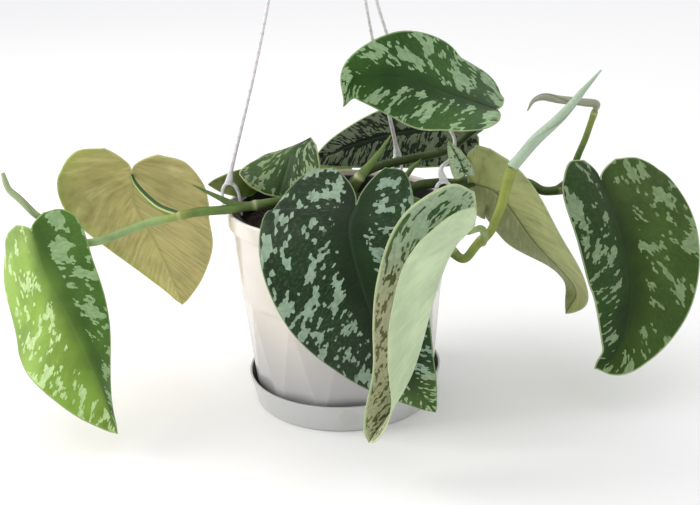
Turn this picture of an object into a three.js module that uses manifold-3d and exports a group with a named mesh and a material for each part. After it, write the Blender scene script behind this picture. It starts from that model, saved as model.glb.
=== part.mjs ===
// A satin pothos in a white plastic hanging pot: saucer, facetted pot, nursery pot, soil,
// three-strand hanger, four vines, and their leaves.
// Millimetres, +Z up. The origin is the centre of the saucer's underside.

import * as THREE from 'three';
import * as BufferGeometryUtils from 'three/addons/utils/BufferGeometryUtils.js';
import Module from 'manifold-3d';

const wasm = await Module();
wasm.setup();

const vec = (x, y, z) => new THREE.Vector3(x, y, z);
const rad = THREE.MathUtils.degToRad;
const lerp = THREE.MathUtils.lerp;

const GAP = 0.3;                 // running gap between touching pieces

// ---------------------------------------------------------------- pot sizes

const POT = {
  top: 141.2, rimRadius: 75, rimInner: 72.6, rimHeight: 11, rimLip: 1.2,
  bodyTop: 71.8, facetTop: 78, facetTopRadius: 69.2, facetBottom: 4, facetBottomRadius: 62.2,
  facets: 12, foot: 2.1, footRadius: 60, floorTop: 4.5, innerFloor: 57.5, wall: 2,
};
const SAUCER = { height: 19.9, topRadius: 67.7, bottomRadius: 63.4, wall: 1.5, floor: 1.8, edge: 0.8 };
const NURSERY = {
  bottom: POT.floorTop + GAP, bottomRadius: 56, top: 138.5, rimRadius: 70.2, rimHeight: 4.5,
  wallTop: 68.3, wall: 1.2, floor: 1.5,
};
const SOIL = { top: 126, crown: 3, rings: 7, sectors: 32 };
const ROUND = 48;                // sides of the round pieces

// ---------------------------------------------------------------- helpers

function closedMesh(positions, index) {
  const geometry = new THREE.BufferGeometry();
  geometry.setAttribute('position', new THREE.Float32BufferAttribute(positions, 3));
  geometry.setIndex(index);
  return geometry;
}

function toSolid(geometry) {
  const bare = geometry.clone();
  bare.deleteAttribute('normal');
  bare.deleteAttribute('uv');
  const merged = BufferGeometryUtils.mergeVertices(bare, 1e-4);
  return new wasm.Manifold(new wasm.Mesh({
    numProp: 3,
    vertProperties: new Float32Array(merged.attributes.position.array),
    triVerts: new Uint32Array(merged.index.array),
  }));
}

function toGeometry(solid) {
  const mesh = solid.getMesh();
  return closedMesh(Array.from(mesh.vertProperties), Array.from(mesh.triVerts));
}

function lathe(profile, sides = ROUND) {
  const points = profile.map(([radius, height]) => new THREE.Vector2(radius, height));
  const geometry = new THREE.LatheGeometry(points, sides);
  geometry.rotateX(Math.PI / 2);
  return toSolid(geometry);
}

// A closed tube along a smooth path, its radius given at the path's points.
function taperedTube(path, radii, step = 6, sides = 8) {
  const curve = new THREE.CatmullRomCurve3(path.map((p) => vec(...p)), false, 'centripetal');
  const count = Math.max(3, Math.round(curve.getLength() / step));
  const frames = curve.computeFrenetFrames(count, false);
  const positions = [];
  const index = [];
  for (let i = 0; i <= count; i++) {
    const centre = curve.getPointAt(i / count);
    const place = curve.getUtoTmapping(i / count) * (radii.length - 1);
    const low = Math.min(Math.floor(place), radii.length - 2);
    const radius = lerp(radii[low], radii[low + 1], place - low);
    for (let s = 0; s < sides; s++) {
      const angle = (s / sides) * 2 * Math.PI;
      const point = centre.clone()
        .addScaledVector(frames.normals[i], radius * Math.cos(angle))
        .addScaledVector(frames.binormals[i], radius * Math.sin(angle));
      positions.push(point.x, point.y, point.z);
    }
  }
  for (let i = 0; i < count; i++) {
    for (let s = 0; s < sides; s++) {
      const a = i * sides + s;
      const b = i * sides + (s + 1) % sides;
      index.push(a, b, b + sides, a, b + sides, a + sides);
    }
  }
  for (let s = 1; s < sides - 1; s++) {
    index.push(0, s + 1, s);
    index.push(count * sides, count * sides + s, count * sides + s + 1);
  }
  return toSolid(closedMesh(positions, index));
}

// ---------------------------------------------------------------- leaf blade

// Half of the flat outline, from the back of the lobe round to the tip, as shares of width and length.
const LEAF_EDGE = [
  [0.17, -0.135], [0.36, -0.115], [0.49, 0.04], [0.50, 0.27],
  [0.415, 0.54], [0.24, 0.80], [0.075, 0.95], [0, 1],
];
const BLADE = 0.8;               // blade thickness
const LEAF_ROWS = 12;
const LEAF_COLUMNS = 8;

// How the rows of the blade sweep: the share of the length that the lobes take, how fast the rows
// move down the midrib, and how each row bends from the midrib out to the margin.
const ROW = { lobes: 0.25, midrib: 1.25, lobeOut: 1.5, lobeSweep: 0.85, middleSweep: 1.25, tipSweep: 1.35 };
const BLUNTING = { start: 0.6, end: 0.9 };   // where along a blade a blunt tip widens
const STRAIGHT = 1e-5;           // below this bend a row counts as flat
const STEEPEST_FOLD = 0.5;       // least cosine of a fold that the midrib's thickness allows for

function splinePoint(points, t) {
  const last = points.length - 1;
  const at = (i) => {
    if (i < 0) return points[0].map((c, n) => 2 * c - points[1][n]);
    if (i > last) return points[last].map((c, n) => 2 * c - points[last - 1][n]);
    return points[i];
  };
  const place = Math.min(Math.max(t, 0), 1) * last;
  const i = Math.min(Math.floor(place), last - 1);
  const w = place - i;
  const [a, b, c, d] = [at(i - 1), at(i), at(i + 1), at(i + 2)];
  return b.map((_, n) => 0.5 * (2 * b[n] + (c[n] - a[n]) * w
    + (2 * a[n] - 5 * b[n] + 4 * c[n] - d[n]) * w * w
    + (3 * b[n] - a[n] - 3 * c[n] + d[n]) * w * w * w));
}

function midribTable(leaf) {
  const steps = 60;
  const points = [];
  const lengths = [0];
  for (let i = 0; i <= steps; i++) {
    points.push(vec(...splinePoint(leaf.midrib, i / steps)));
    if (i > 0) lengths.push(lengths[i - 1] + points[i].distanceTo(points[i - 1]));
  }
  return { points, lengths, length: lengths[steps] };
}

function alongMidrib(table, distance) {
  const { points, lengths, length } = table;
  const inside = Math.min(Math.max(distance, 0), length);
  let i = 1;
  while (i < points.length - 1 && lengths[i] < inside) i++;
  const share = (inside - lengths[i - 1]) / (lengths[i] - lengths[i - 1]);
  const before = points[Math.max(i - 2, 0)];
  const after = points[Math.min(i + 1, points.length - 1)];
  const tangent = after.clone().sub(before).normalize();
  const point = points[i - 1].clone().lerp(points[i], share);
  return { point: point.addScaledVector(tangent, distance - inside), tangent };
}

// The way that the midrib's top looks, swinging from the base over the middle, where given, to the tip.
function midribFace(leaf, share) {
  const base = vec(...leaf.faceBase).normalize();
  const tip = vec(...leaf.faceTip).normalize();
  const middle = leaf.faceMiddle ? vec(...leaf.faceMiddle).normalize() : base.clone().lerp(tip, 0.5);
  return base.lerp(middle, share).lerp(middle.lerp(tip, share), share);
}

// A point of the blade. side runs from -1 (left margin) over 0 (midrib) to 1 (right margin), and
// along from 0 (back of the lobes) to 1 (tip). Also gives the direction that the top face looks in.
function bladePoint(leaf, side, along) {
  const table = leaf.table;
  const [edgeX, edgeY] = splinePoint(LEAF_EDGE, along);
  const out = Math.abs(side);
  const sign = Math.sign(side);
  const pastLobes = Math.min(along / ROW.lobes, 1);
  const towardsTip = Math.max(along - ROW.lobes, 0) / (1 - ROW.lobes);
  const shapedY = edgeY < 0 ? edgeY * leaf.lobe : edgeY ** leaf.shoulder;
  const ribY = along ** ROW.midrib;
  const spread = lerp(ROW.lobeOut, 1, pastLobes);
  const sweep = lerp(lerp(ROW.lobeSweep, ROW.middleSweep, pastLobes), ROW.tipSweep, towardsTip);
  const bluntShare = Math.min(Math.max((along - BLUNTING.start) / (BLUNTING.end - BLUNTING.start), 0), 1);
  const blunted = 1 + (leaf.blunt ?? 0) * bluntShare ** 2;
  const x = edgeX * blunted * out ** spread * leaf.width * (1 + sign * leaf.skew);
  const y = (ribY + (shapedY - ribY) * out ** sweep) * table.length;

  const { point, tangent } = alongMidrib(table, y);
  const share = Math.min(Math.max(y / table.length, 0), 1);
  const face = midribFace(leaf, share);
  face.addScaledVector(tangent, -face.dot(tangent)).normalize();
  const across = tangent.clone().cross(face);

  const fold = side > 0 ? leaf.foldRight : leaf.foldLeft;
  const start = rad(lerp(fold[0], fold[1], share));
  const bend = rad(side > 0 ? leaf.curlRight : leaf.curlLeft) / (leaf.width / 2);
  const turn = start + bend * x;
  const flat = Math.abs(bend) < STRAIGHT;
  const reach = flat ? x * Math.cos(start) : (Math.sin(turn) - Math.sin(start)) / bend;
  const lift = flat ? x * Math.sin(start) : (Math.cos(start) - Math.cos(turn)) / bend;
  point.addScaledVector(across, sign * reach).addScaledVector(face, lift);

  const facing = side === 0
    ? midribFacing(leaf, face, share)
    : face.clone().multiplyScalar(Math.cos(turn)).addScaledVector(across, -sign * Math.sin(turn));
  return { point, facing };
}

// Along the fold both halves meet, so the offset is lengthened to keep them at full thickness.
function midribFacing(leaf, face, share) {
  const folded = (rad(lerp(...leaf.foldLeft, share)) + rad(lerp(...leaf.foldRight, share))) / 2;
  return face.clone().divideScalar(Math.max(STEEPEST_FOLD, Math.cos(folded)));
}

// The blade as a closed shell: the same grid on both faces, and a wall round the margin.
function bladeSolid(leaf, thickness) {
  const positions = [];
  const index = [];
  const layer = LEAF_ROWS * (LEAF_COLUMNS + 1) + 1;
  for (const face of [0.5, -0.5]) {
    for (let row = 0; row <= LEAF_ROWS; row++) {
      const columns = row === LEAF_ROWS ? [LEAF_COLUMNS / 2] : [...Array(LEAF_COLUMNS + 1).keys()];
      for (const column of columns) {
        const side = (2 * column) / LEAF_COLUMNS - 1;
        const { point, facing } = bladePoint(leaf, side, row / LEAF_ROWS);
        point.addScaledVector(facing, face * thickness);
        positions.push(point.x, point.y, point.z);
      }
    }
  }
  const at = (row, column) => (row === LEAF_ROWS ? layer - 1 : row * (LEAF_COLUMNS + 1) + column);
  for (const [a, b, c] of bladeTriangles(at)) index.push(a, b, c, layer + a, layer + c, layer + b);
  const loop = bladeMargin(at);
  loop.forEach((a, i) => {
    const b = loop[(i + 1) % loop.length];
    index.push(a, layer + a, layer + b, a, layer + b, b);
  });
  return toSolid(closedMesh(positions, index));
}

// The diagonals lean away from the midrib on both halves.
function bladeTriangles(at) {
  const triangles = [];
  for (let row = 0; row < LEAF_ROWS; row++) {
    for (let column = 0; column < LEAF_COLUMNS; column++) {
      const [a, b] = [at(row, column), at(row, column + 1)];
      const [c, d] = [at(row + 1, column + 1), at(row + 1, column)];
      if (row === LEAF_ROWS - 1) triangles.push([a, b, c]);
      else if (column < LEAF_COLUMNS / 2) triangles.push([a, b, c], [a, c, d]);
      else triangles.push([a, b, d], [b, c, d]);
    }
  }
  return triangles;
}

function bladeMargin(at) {
  const loop = [];
  for (let column = 0; column < LEAF_COLUMNS; column++) loop.push(at(0, column));
  for (let row = 0; row <= LEAF_ROWS; row++) loop.push(at(row, LEAF_COLUMNS));
  for (let row = LEAF_ROWS - 1; row > 0; row--) loop.push(at(row, 0));
  return loop;
}

// ---------------------------------------------------------------- leaves, as they hang

const LEAVES = {
  leaf_far_left: {
    midrib: [[-197, -34, 140], [-189, -45, 115], [-173, -58, 85], [-158, -72, 51], [-149, -74, 12]],
    width: 85, faceBase: [-0.21, -0.94, 0.25], faceTip: [0.87, -0.34, -0.35],
    foldRight: [-33, -26], foldLeft: [-22, -27],
    curlRight: -9, curlLeft: -13, skew: 0.26, lobe: 0.45, shoulder: 1.12,
  },
  leaf_left_back: {
    midrib: [[-136, 3, 167], [-140, 18, 140], [-133, 35, 107], [-127, 48, 77], [-121, 56, 46]],
    width: 102, faceBase: [0.07, 0.83, 0.56], faceTip: [0.21, 0.75, 0.63],
    foldRight: [-7, 4], foldLeft: [-2, 13],
    curlRight: -6, curlLeft: -16, skew: 0.04, lobe: 1.04, shoulder: 0.94,
  },
  leaf_front: {
    midrib: [[11, -69, 159], [6, -89, 146], [16, -107, 106], [32, -103, 67], [55, -97, 30]],
    width: 96, faceBase: [-0.12, -0.68, 0.72], faceTip: [-0.04, -0.97, -0.26],
    foldRight: [-8, -16], foldLeft: [2, 5],
    curlRight: -8, curlLeft: -18, skew: 0.21, lobe: 1.48, shoulder: 0.97,
  },
  leaf_folded: {
    midrib: [[73, -121, 158.5], [63, -114, 143], [53.5, -112, 116.5], [38, -114.5, 64], [12, -120, 24.5]],
    width: 85, faceBase: [-0.82, -0.46, 0.34], faceMiddle: [-0.78, -0.6, -0.19], faceTip: [-0.58, -0.54, -0.61],
    foldRight: [61, 33], foldLeft: [69, 77],
    curlRight: 6, curlLeft: -2, skew: -0.17, lobe: 1.05, shoulder: 1, blunt: 1,
  },
  leaf_top: {
    midrib: [[104, -15, 201], [75, -9, 211], [45, -7, 222], [14, -12, 223], [6, -29, 210]],
    width: 82, faceBase: [-0.67, 0.13, 0.73], faceTip: [0.6, -0.75, -0.27],
    foldRight: [3, 6], foldLeft: [5, -8],
    curlRight: -2, curlLeft: -16, skew: 0.08, lobe: 0.22, shoulder: 1.4,
  },
  leaf_shaded: {
    midrib: [[96, 64, 173], [66, 72, 170], [37, 76, 165], [7, 76, 157], [-20, 72, 147]],
    width: 52, faceBase: [0, -0.85, 0.5], faceTip: [-0.1, -0.85, 0.5],
    foldRight: [5, 5], foldLeft: [-5, -5],
    curlRight: -10, curlLeft: -10, skew: -0.1, lobe: 0.5, shoulder: 1,
  },
  leaf_back_left: {
    midrib: [[-39.5, -6, 146.7], [-37, 0, 152.9], [-33, 8, 163], [-28, 16, 173], [-16.7, 30, 177.4]],
    width: 56.6, faceBase: [0.21, -0.62, 0.75], faceMiddle: [-0.43, -0.66, 0.62],
    faceTip: [-0.31, -0.75, 0.59], foldRight: [18, 8], foldLeft: [21, -52],
    curlRight: 0, curlLeft: 4, skew: -0.03, lobe: 0.38, shoulder: 0.87,
  },
  leaf_low_left: {
    midrib: [[-44, 27, 150.5], [-52, 20, 152], [-62, 15.5, 152.2], [-76.4, 14.8, 151.4], [-88.5, 17.2, 150.8]],
    width: 24, faceBase: [0.25, 0.79, 0.56], faceMiddle: [0.11, 0.94, 0.31],
    faceTip: [0.12, 0.95, 0.29], foldRight: [5, -22], foldLeft: [5, 7],
    curlRight: -11, curlLeft: -1, skew: 0.08, lobe: 0.5, shoulder: 0.9,
  },
  leaf_right: {
    midrib: [[88, -6, 151], [107, -14, 144], [130, -21, 112], [158, -21, 78], [152, -22, 59]],
    width: 89, faceBase: [0.67, 0.6, 0.44], faceTip: [0.94, 0.06, -0.33],
    foldRight: [1, 1], foldLeft: [11, -1],
    curlRight: -16, curlLeft: 0, skew: -0.03, lobe: 0.26, shoulder: 0.63,
  },
  leaf_far_right: {
    midrib: [[177, -2, 148], [188, -25, 115], [191, -39, 79], [180, -53, 45], [165, -52, 32]],
    width: 108, faceBase: [0.55, -0.66, 0.51], faceTip: [0.1, -0.96, 0.24],
    foldRight: [20, 17], foldLeft: [4, 12],
    curlRight: -29, curlLeft: 1, skew: -0.13, lobe: 0.69, shoulder: 1.2,
  },
  leaf_behind: {
    midrib: [[-30, 92, 140], [-28, 106, 110], [-24, 108, 76], [-20, 103, 44]],
    width: 84, faceBase: [0, 0.95, 0.3], faceTip: [-0.1, 1, -0.1],
    foldRight: [8, 8], foldLeft: [8, 8],
    curlRight: -18, curlLeft: -18, skew: 0, lobe: 0.8, shoulder: 1,
  },
  leaf_young: {
    midrib: [[84, -14, 159], [81, -17, 167], [77, -20, 175], [72, -23, 184]],
    width: 16, faceBase: [-0.3, -0.9, 0.2], faceTip: [-0.3, -0.9, 0.2],
    foldRight: [25, 40], foldLeft: [25, 40],
    curlRight: 0, curlLeft: 0, skew: 0, lobe: 0.3, shoulder: 0.9,
  },
};

for (const leaf of Object.values(LEAVES)) leaf.table = midribTable(leaf);

// ---------------------------------------------------------------- vines and petioles

// Each vine is a list of tubes: points along it, and its radius from end to end. A petiole ends
// under the leaf that it names.
const PETIOLE_SEAT = { along: 3, under: 0.5 };
const VINE_STEP = 8;
const VINES = {
  vine_left: [
    { path: [[-14, -8, 106], [-16, -10, 134], [-24, -18, 147], [-39, -25, 149], [-55, -28, 148],
      [-70, -27, 146], [-93, -24, 144], [-105, -22, 141], [-124, -20, 137], [-137, -20, 133],
      [-151, -20, 128], [-164, -20, 125], [-177, -20, 126], [-187, -22, 131]], radii: [3, 3, 2.6] },
    { path: [[-53, -28, 148], [-66, -27, 149], [-79, -25, 155], [-93, -22, 162]],
      radii: [2.8, 2.4, 1.6, 0.4] },
    { path: [[-103, -22, 142], [-117, -16, 146], [-127, -8, 152], [-134, -2, 159]], radii: [2.6, 2.2, 1.3],
      leaf: 'leaf_left_back' },
    { path: [[-184, -22, 130], [-191, -23, 136], [-196, -28, 140]], radii: [2.6, 2, 1.3],
      leaf: 'leaf_far_left' },
  ],
  vine_front: [
    { path: [[24, -18, 106], [26, -22, 132], [36, -34, 149], [52, -50, 151], [63, -64, 140], [69, -74, 127],
      [75, -78, 124], [83, -78, 133], [91, -76, 140], [95, -74, 148]], radii: [3, 2.8, 2.6] },
    { path: [[93, -75, 144], [98, -74, 156], [101, -73, 168], [104, -72, 178]], radii: [2.7, 3, 3.9] },
    { path: [[86, -78, 134], [86, -87, 141], [81, -104, 152]], radii: [2.6, 2.3, 1.4], leaf: 'leaf_folded' },
  ],
  vine_right: [
    { path: [[34, 0, 106], [38, -2, 134], [52, -5, 149], [66, -5, 151], [80, -4, 150], [94, 6, 150],
      [112, 14, 148], [131, 12, 143], [141, 9, 138], [154, 8, 139], [166, 6, 143]], radii: [3.2, 3.2, 3] },
    { path: [[68, -6, 151], [76, -10, 151], [83, -12, 150]], radii: [3, 2.6, 1.4], leaf: 'leaf_right' },
    { path: [[150, 8, 139], [159, 8, 147], [163, 8, 161], [168, 8, 174], [171, 9, 183], [174, 10, 192]],
      radii: [2.4, 2.2, 2] },
    { path: [[163, 7, 142], [168, 5, 143], [173, 2, 144]], radii: [2.6, 2.2, 1.3], leaf: 'leaf_far_right' },
    { path: [[72, -8, 151], [79, -10, 154], [84, -10, 158]], radii: [2, 1.6, 1], leaf: 'leaf_young' },
  ],
  vine_crown: [
    { path: [[8, 6, 106], [9, 2, 134], [10, -2, 152], [18, 5, 157], [30, 12, 160], [52, 16, 163],
      [75, 14, 168], [93, 6, 184], [103, -6, 195]], radii: [3.4, 3.2, 3, 2.8, 2.6, 1.4], leaf: 'leaf_top' },
    { path: [[9, -2, 146], [8, -26, 152], [10, -44, 162], [14, -46, 169], [17, -45, 172], [26, -40, 181],
      [35, -34, 192]], radii: [3, 3.2, 3, 0.4] },
    { path: [[8, -26, 152], [7, -46, 152], [9, -60, 152]], radii: [2.8, 2.2, 1.3], leaf: 'leaf_front' },
    { path: [[10, 0, 143], [-8, 1, 145], [-24, -5, 143], [-34, -9, 144]], radii: [2.8, 2.2, 1.1],
      leaf: 'leaf_back_left' },
    { path: [[9, 2, 140], [2, 12, 146], [-10, 20, 150], [-26, 23, 151]], radii: [2.6, 2, 1],
      leaf: 'leaf_low_left' },
    { path: [[70, 14, 167], [86, 30, 171], [102, 52, 172], [106, 68, 171], [101, 74, 171]],
      radii: [2.6, 2.2, 1.3], leaf: 'leaf_shaded' },
  ],
  vine_back: [
    { path: [[0, 26, 106], [-4, 32, 130], [-20, 50, 143], [-32, 68, 147], [-34, 84, 146]],
      radii: [3, 3, 2.4, 1.4], leaf: 'leaf_behind' },
  ],
};

function tubeSolid({ path, radii, leaf }, clearance = 0) {
  const points = leaf ? [...path, petioleSeat(LEAVES[leaf])] : path;
  return taperedTube(points, radii.map((radius) => radius + clearance), VINE_STEP);
}

function petioleSeat(leaf) {
  const { point, tangent } = alongMidrib(leaf.table, PETIOLE_SEAT.along);
  const face = vec(...leaf.faceBase);
  face.addScaledVector(tangent, -face.dot(tangent)).normalize();
  return point.addScaledVector(face, -PETIOLE_SEAT.under).toArray();
}

// Young leaves still rolled up, each a slim spindle.
const ROLLED_LEAVES = {
  leaf_rolled_left: {
    path: [[-186, -18, 132], [-191, -18, 139], [-198, -20, 147], [-205, -20, 156], [-212, -18, 163],
      [-214, -17, 169], [-215, -16, 174]],
    radii: [1.6, 2.6, 2.2, 1.6, 0.6],
  },
  leaf_rolled_tall: {
    path: [[104, -72, 178], [118, -68, 193], [134, -64, 206], [147, -60, 219], [159, -56, 231]],
    radii: [3.4, 3.9, 3.2, 2.2, 0.6],
  },
  leaf_rolled_right: {
    path: [[174, 10, 192], [175, 10, 196], [163, 6, 199], [148, 2, 202], [136, -2, 205], [130, -3, 203],
      [126, -4, 197]],
    radii: [1.8, 2.8, 3, 2.8, 1.6, 0.5],
  },
};

const BUD_STEP = 5;
const BUD_SIDES = 10;

function budSolid({ path, radii }, clearance = 0) {
  return taperedTube(path, radii.map((radius) => radius + clearance), BUD_STEP, BUD_SIDES);
}

// ---------------------------------------------------------------- pot, saucer, nursery pot

const FACET_TURN = 2 * Math.PI / POT.facets;
const SIDES_PER_FACET = ROUND / POT.facets;
const FOOT_FLATNESS = 0.6;       // how far the foot ring goes from round towards the facets' flat sides
const ROUND_ABOVE = 0.08;        // share of the upper wall in which the facets die out
const RIM_UNDERCUT = 0.6;
const ABOVE_RIM = 5;             // how far the cavity's cutter stands out of the pot

// Tall triangles round the lower half, points up and points down by turns, under a round upper wall.
function facetedBody() {
  const positions = [];
  const rimBottom = POT.top - POT.rimHeight;
  const shoulderRadius = lerp(POT.facetTopRadius, POT.bodyTop, ROUND_ABOVE);
  const shoulderHeight = lerp(POT.facetTop, rimBottom, ROUND_ABOVE);
  positions.push(...potRing(POT.footRadius, POT.foot, FOOT_FLATNESS));
  positions.push(...potRing(POT.facetBottomRadius, POT.facetBottom, 1));
  for (let step = 1; step <= SIDES_PER_FACET; step++) positions.push(...facetRing(step / SIDES_PER_FACET));
  positions.push(...potRing(shoulderRadius, shoulderHeight, 0));
  positions.push(...potRing(POT.bodyTop, rimBottom, 0));
  positions.push(...potRing(POT.rimRadius - RIM_UNDERCUT, rimBottom, 0));
  positions.push(...potRing(POT.rimRadius, POT.top - POT.rimLip, 0));
  positions.push(...potRing(POT.rimRadius - POT.rimLip, POT.top, 0));
  return toSolid(closedMesh(positions, stackedRings(positions.length / 3 / ROUND)));
}

// One ring of points, from round (flatness 0) to the flat sides of a polygon (flatness 1).
function potRing(radius, height, flatness) {
  const ring = [];
  for (let i = 0; i < ROUND; i++) {
    const angle = (i / ROUND) * 2 * Math.PI;
    const intoFacet = (i + SIDES_PER_FACET / 2) % SIDES_PER_FACET;
    const fromMiddle = (intoFacet / SIDES_PER_FACET - 0.5) * FACET_TURN;
    const flat = radius * Math.cos(FACET_TURN / 2) / Math.cos(fromMiddle);
    const reach = lerp(radius, flat, flatness);
    ring.push(reach * Math.cos(angle), reach * Math.sin(angle), height);
  }
  return ring;
}

function facetRing(share) {
  const ring = [];
  for (let i = 0; i < ROUND; i++) ring.push(...facetPoint((i / ROUND) * 2 * Math.PI, share));
  return ring;
}

function stackedRings(rings) {
  const index = [];
  for (let r = 0; r < rings - 1; r++) {
    for (let i = 0; i < ROUND; i++) {
      const a = r * ROUND + i;
      const b = r * ROUND + (i + 1) % ROUND;
      index.push(a, b, b + ROUND, a, b + ROUND, a + ROUND);
    }
  }
  const top = (rings - 1) * ROUND;
  for (let i = 1; i < ROUND - 1; i++) {
    index.push(0, i + 1, i);
    index.push(top, top + i, top + i + 1);
  }
  return index;
}

// Where a ray from the axis meets the flat triangle at this share of the facets' height. Each
// triangle that points up stands on one side of the polygon, and its point is over the side's middle.
function facetPoint(angle, share) {
  const height = lerp(POT.facetBottom, POT.facetTop, share);
  const shifted = angle / FACET_TURN - 0.5;
  const side = Math.floor(shifted);
  const intoSide = shifted - side;
  const low = (k) => facetCorner(POT.facetBottomRadius, k + 0.5, POT.facetBottom);
  const high = (k) => facetCorner(POT.facetTopRadius, k, POT.facetTop);
  let corners = [low(side), low(side + 1), high(side + 1)];
  if (intoSide < share / 2) corners = [low(side), high(side + 1), high(side)];
  if (intoSide > 1 - share / 2) corners = [low(side + 1), high(side + 2), high(side + 1)];
  const plane = new THREE.Plane().setFromCoplanarPoints(...corners);
  const direction = vec(Math.cos(angle), Math.sin(angle), 0);
  const reach = -(plane.constant + plane.normal.z * height) / plane.normal.dot(direction);
  return [reach * direction.x, reach * direction.y, height];
}

function facetCorner(radius, facet, height) {
  return vec(radius * Math.cos(facet * FACET_TURN), radius * Math.sin(facet * FACET_TURN), height);
}

function potCavity() {
  return lathe([
    [0, POT.floorTop], [POT.innerFloor, POT.floorTop],
    [POT.facetTopRadius * Math.cos(Math.PI / POT.facets) - POT.wall, POT.facetTop],
    [POT.bodyTop - POT.wall, POT.top - POT.rimHeight], [POT.rimInner, POT.top],
    [POT.rimInner, POT.top + ABOVE_RIM], [0, POT.top + ABOVE_RIM],
  ]);
}

function saucerSolid() {
  const { height, topRadius, bottomRadius, wall, floor, edge } = SAUCER;
  const inner = (z) => lerp(bottomRadius, topRadius, z / height) - wall;
  return lathe([
    [0, 0], [bottomRadius - edge, 0], [bottomRadius, edge],
    [topRadius, height - edge / 2], [topRadius - edge / 2, height],
    [inner(height), height], [inner(floor), floor], [0, floor],
  ]);
}

function nurserySolid() {
  const { bottom, bottomRadius, top, rimRadius, rimHeight, wallTop, wall, floor } = NURSERY;
  return lathe([
    [0, bottom], [bottomRadius, bottom], [wallTop, top - rimHeight],
    [rimRadius, top - rimHeight], [rimRadius, top],
    [wallTop - wall, top], [bottomRadius - wall, bottom + floor], [0, bottom + floor],
  ]);
}

// ---------------------------------------------------------------- soil

// Two crossed waves, in millimetres, stand for the lumps. They die out towards the nursery pot's wall.
function soilHeight(x, y) {
  const radius = Math.hypot(x, y) / NURSERY.wallTop;
  const wide = 0.9 * Math.sin(0.31 * x + 1.3) * Math.cos(0.27 * y);
  const narrow = 0.6 * Math.sin(0.53 * y - 0.4 * x);
  return SOIL.top + SOIL.crown * (1 - radius ** 2) + (wide + narrow) * (1 - radius ** 4);
}

function soilSolid() {
  const { bottom, bottomRadius, top, wallTop, wall, floor, rimHeight } = NURSERY;
  const low = bottom + floor + GAP;
  const upWall = (z) => (z - bottom) / (top - rimHeight - bottom);
  const inside = (z) => lerp(bottomRadius, wallTop, upWall(z)) - wall - 2 * GAP;
  const positions = [0, 0, low];
  const index = [];
  const sectors = SOIL.sectors;
  const rim = (radius, height) => {
    for (let i = 0; i < sectors; i++) {
      const angle = (i / sectors) * 2 * Math.PI;
      const [x, y] = [radius * Math.cos(angle), radius * Math.sin(angle)];
      positions.push(x, y, height ?? soilHeight(x, y));
    }
  };
  rim(inside(low), low);
  for (let r = SOIL.rings; r > 0; r--) rim(inside(SOIL.top) * r / SOIL.rings);
  positions.push(0, 0, soilHeight(0, 0));
  const apex = positions.length / 3 - 1;
  for (let i = 0; i < sectors; i++) {
    const next = (i + 1) % sectors;
    index.push(0, 1 + next, 1 + i);
    for (let r = 0; r < SOIL.rings; r++) {
      const a = 1 + r * sectors;
      index.push(a + i, a + next, a + sectors + next, a + i, a + sectors + next, a + sectors + i);
    }
    const lastRing = 1 + SOIL.rings * sectors;
    index.push(lastRing + i, lastRing + next, apex);
  }
  return toSolid(closedMesh(positions, index));
}

// ---------------------------------------------------------------- hanger

const HANGER = {
  crownBottom: 408, crownHeight: 8, crownRadius: 6, crownChamfer: 2, crownPeak: 3,
  strandCircle: 3.6, strandTop: 0.8, strandFoot: 1.5, strandRoot: 3.1, strandStep: 14,
};

// The clip: a wire bow over the rim, down outside and inside it. Radii and heights are those of its path.
const CLIP = {
  wire: 1.15, endWire: 0.9, topWire: 1.35, top: 156, middle: 72.1, step: 3.5, sides: 6,
  outside: [[76.6, 134], [77.2, 144], [77, 149.5], [75.3, 154]],
  inside: [[68.4, 154], [66.4, 149.5], [65.6, 144], [65.6, 133]],
};

const HOOK = {
  wire: 1.9, tip: 1.5, radius: 13, rise: 8, neck: 10, sunk: 2,
  arcFrom: -60, arcTo: 150, arcStep: 30, step: 4,
};

// Each strand's direction round the rim, and how it bows past the leaves on its way up.
const STRANDS = {
  hanger_strand_1: { azimuth: 180, bow: [[-48, 0, 236], [-26, 0, 320]] },
  hanger_strand_2: { azimuth: 52, bow: [[29, 37, 236], [16, 20, 320]] },
  hanger_strand_3: {
    azimuth: -15,
    bow: [[76, -5, 168], [79, 3, 179], [64, 16, 199], [49, 25, 218], [36, 30, 250], [18, 14, 330]],
  },
};

function strandSolid({ azimuth, bow }) {
  const angle = rad(azimuth);
  const out = ([radius, height]) => [radius * Math.cos(angle), radius * Math.sin(angle), height];
  const clip = taperedTube(
    [...CLIP.outside, [CLIP.middle, CLIP.top], ...CLIP.inside].map(out),
    [CLIP.endWire, CLIP.wire, CLIP.topWire, CLIP.wire, CLIP.endWire], CLIP.step, CLIP.sides);
  const foot = [[CLIP.middle, CLIP.top - 0.5], [CLIP.middle - 2, CLIP.top + 8]];
  const head = out([HANGER.strandCircle, HANGER.crownBottom - GAP]);
  const middleRadius = (HANGER.strandTop + HANGER.strandFoot) / 2;
  const strand = taperedTube(
    [...foot.map(out), ...bow, head],
    [HANGER.strandRoot, HANGER.strandFoot, ...bow.map(() => middleRadius), HANGER.strandTop],
    HANGER.strandStep, CLIP.sides);
  return clip.add(strand);
}

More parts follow.
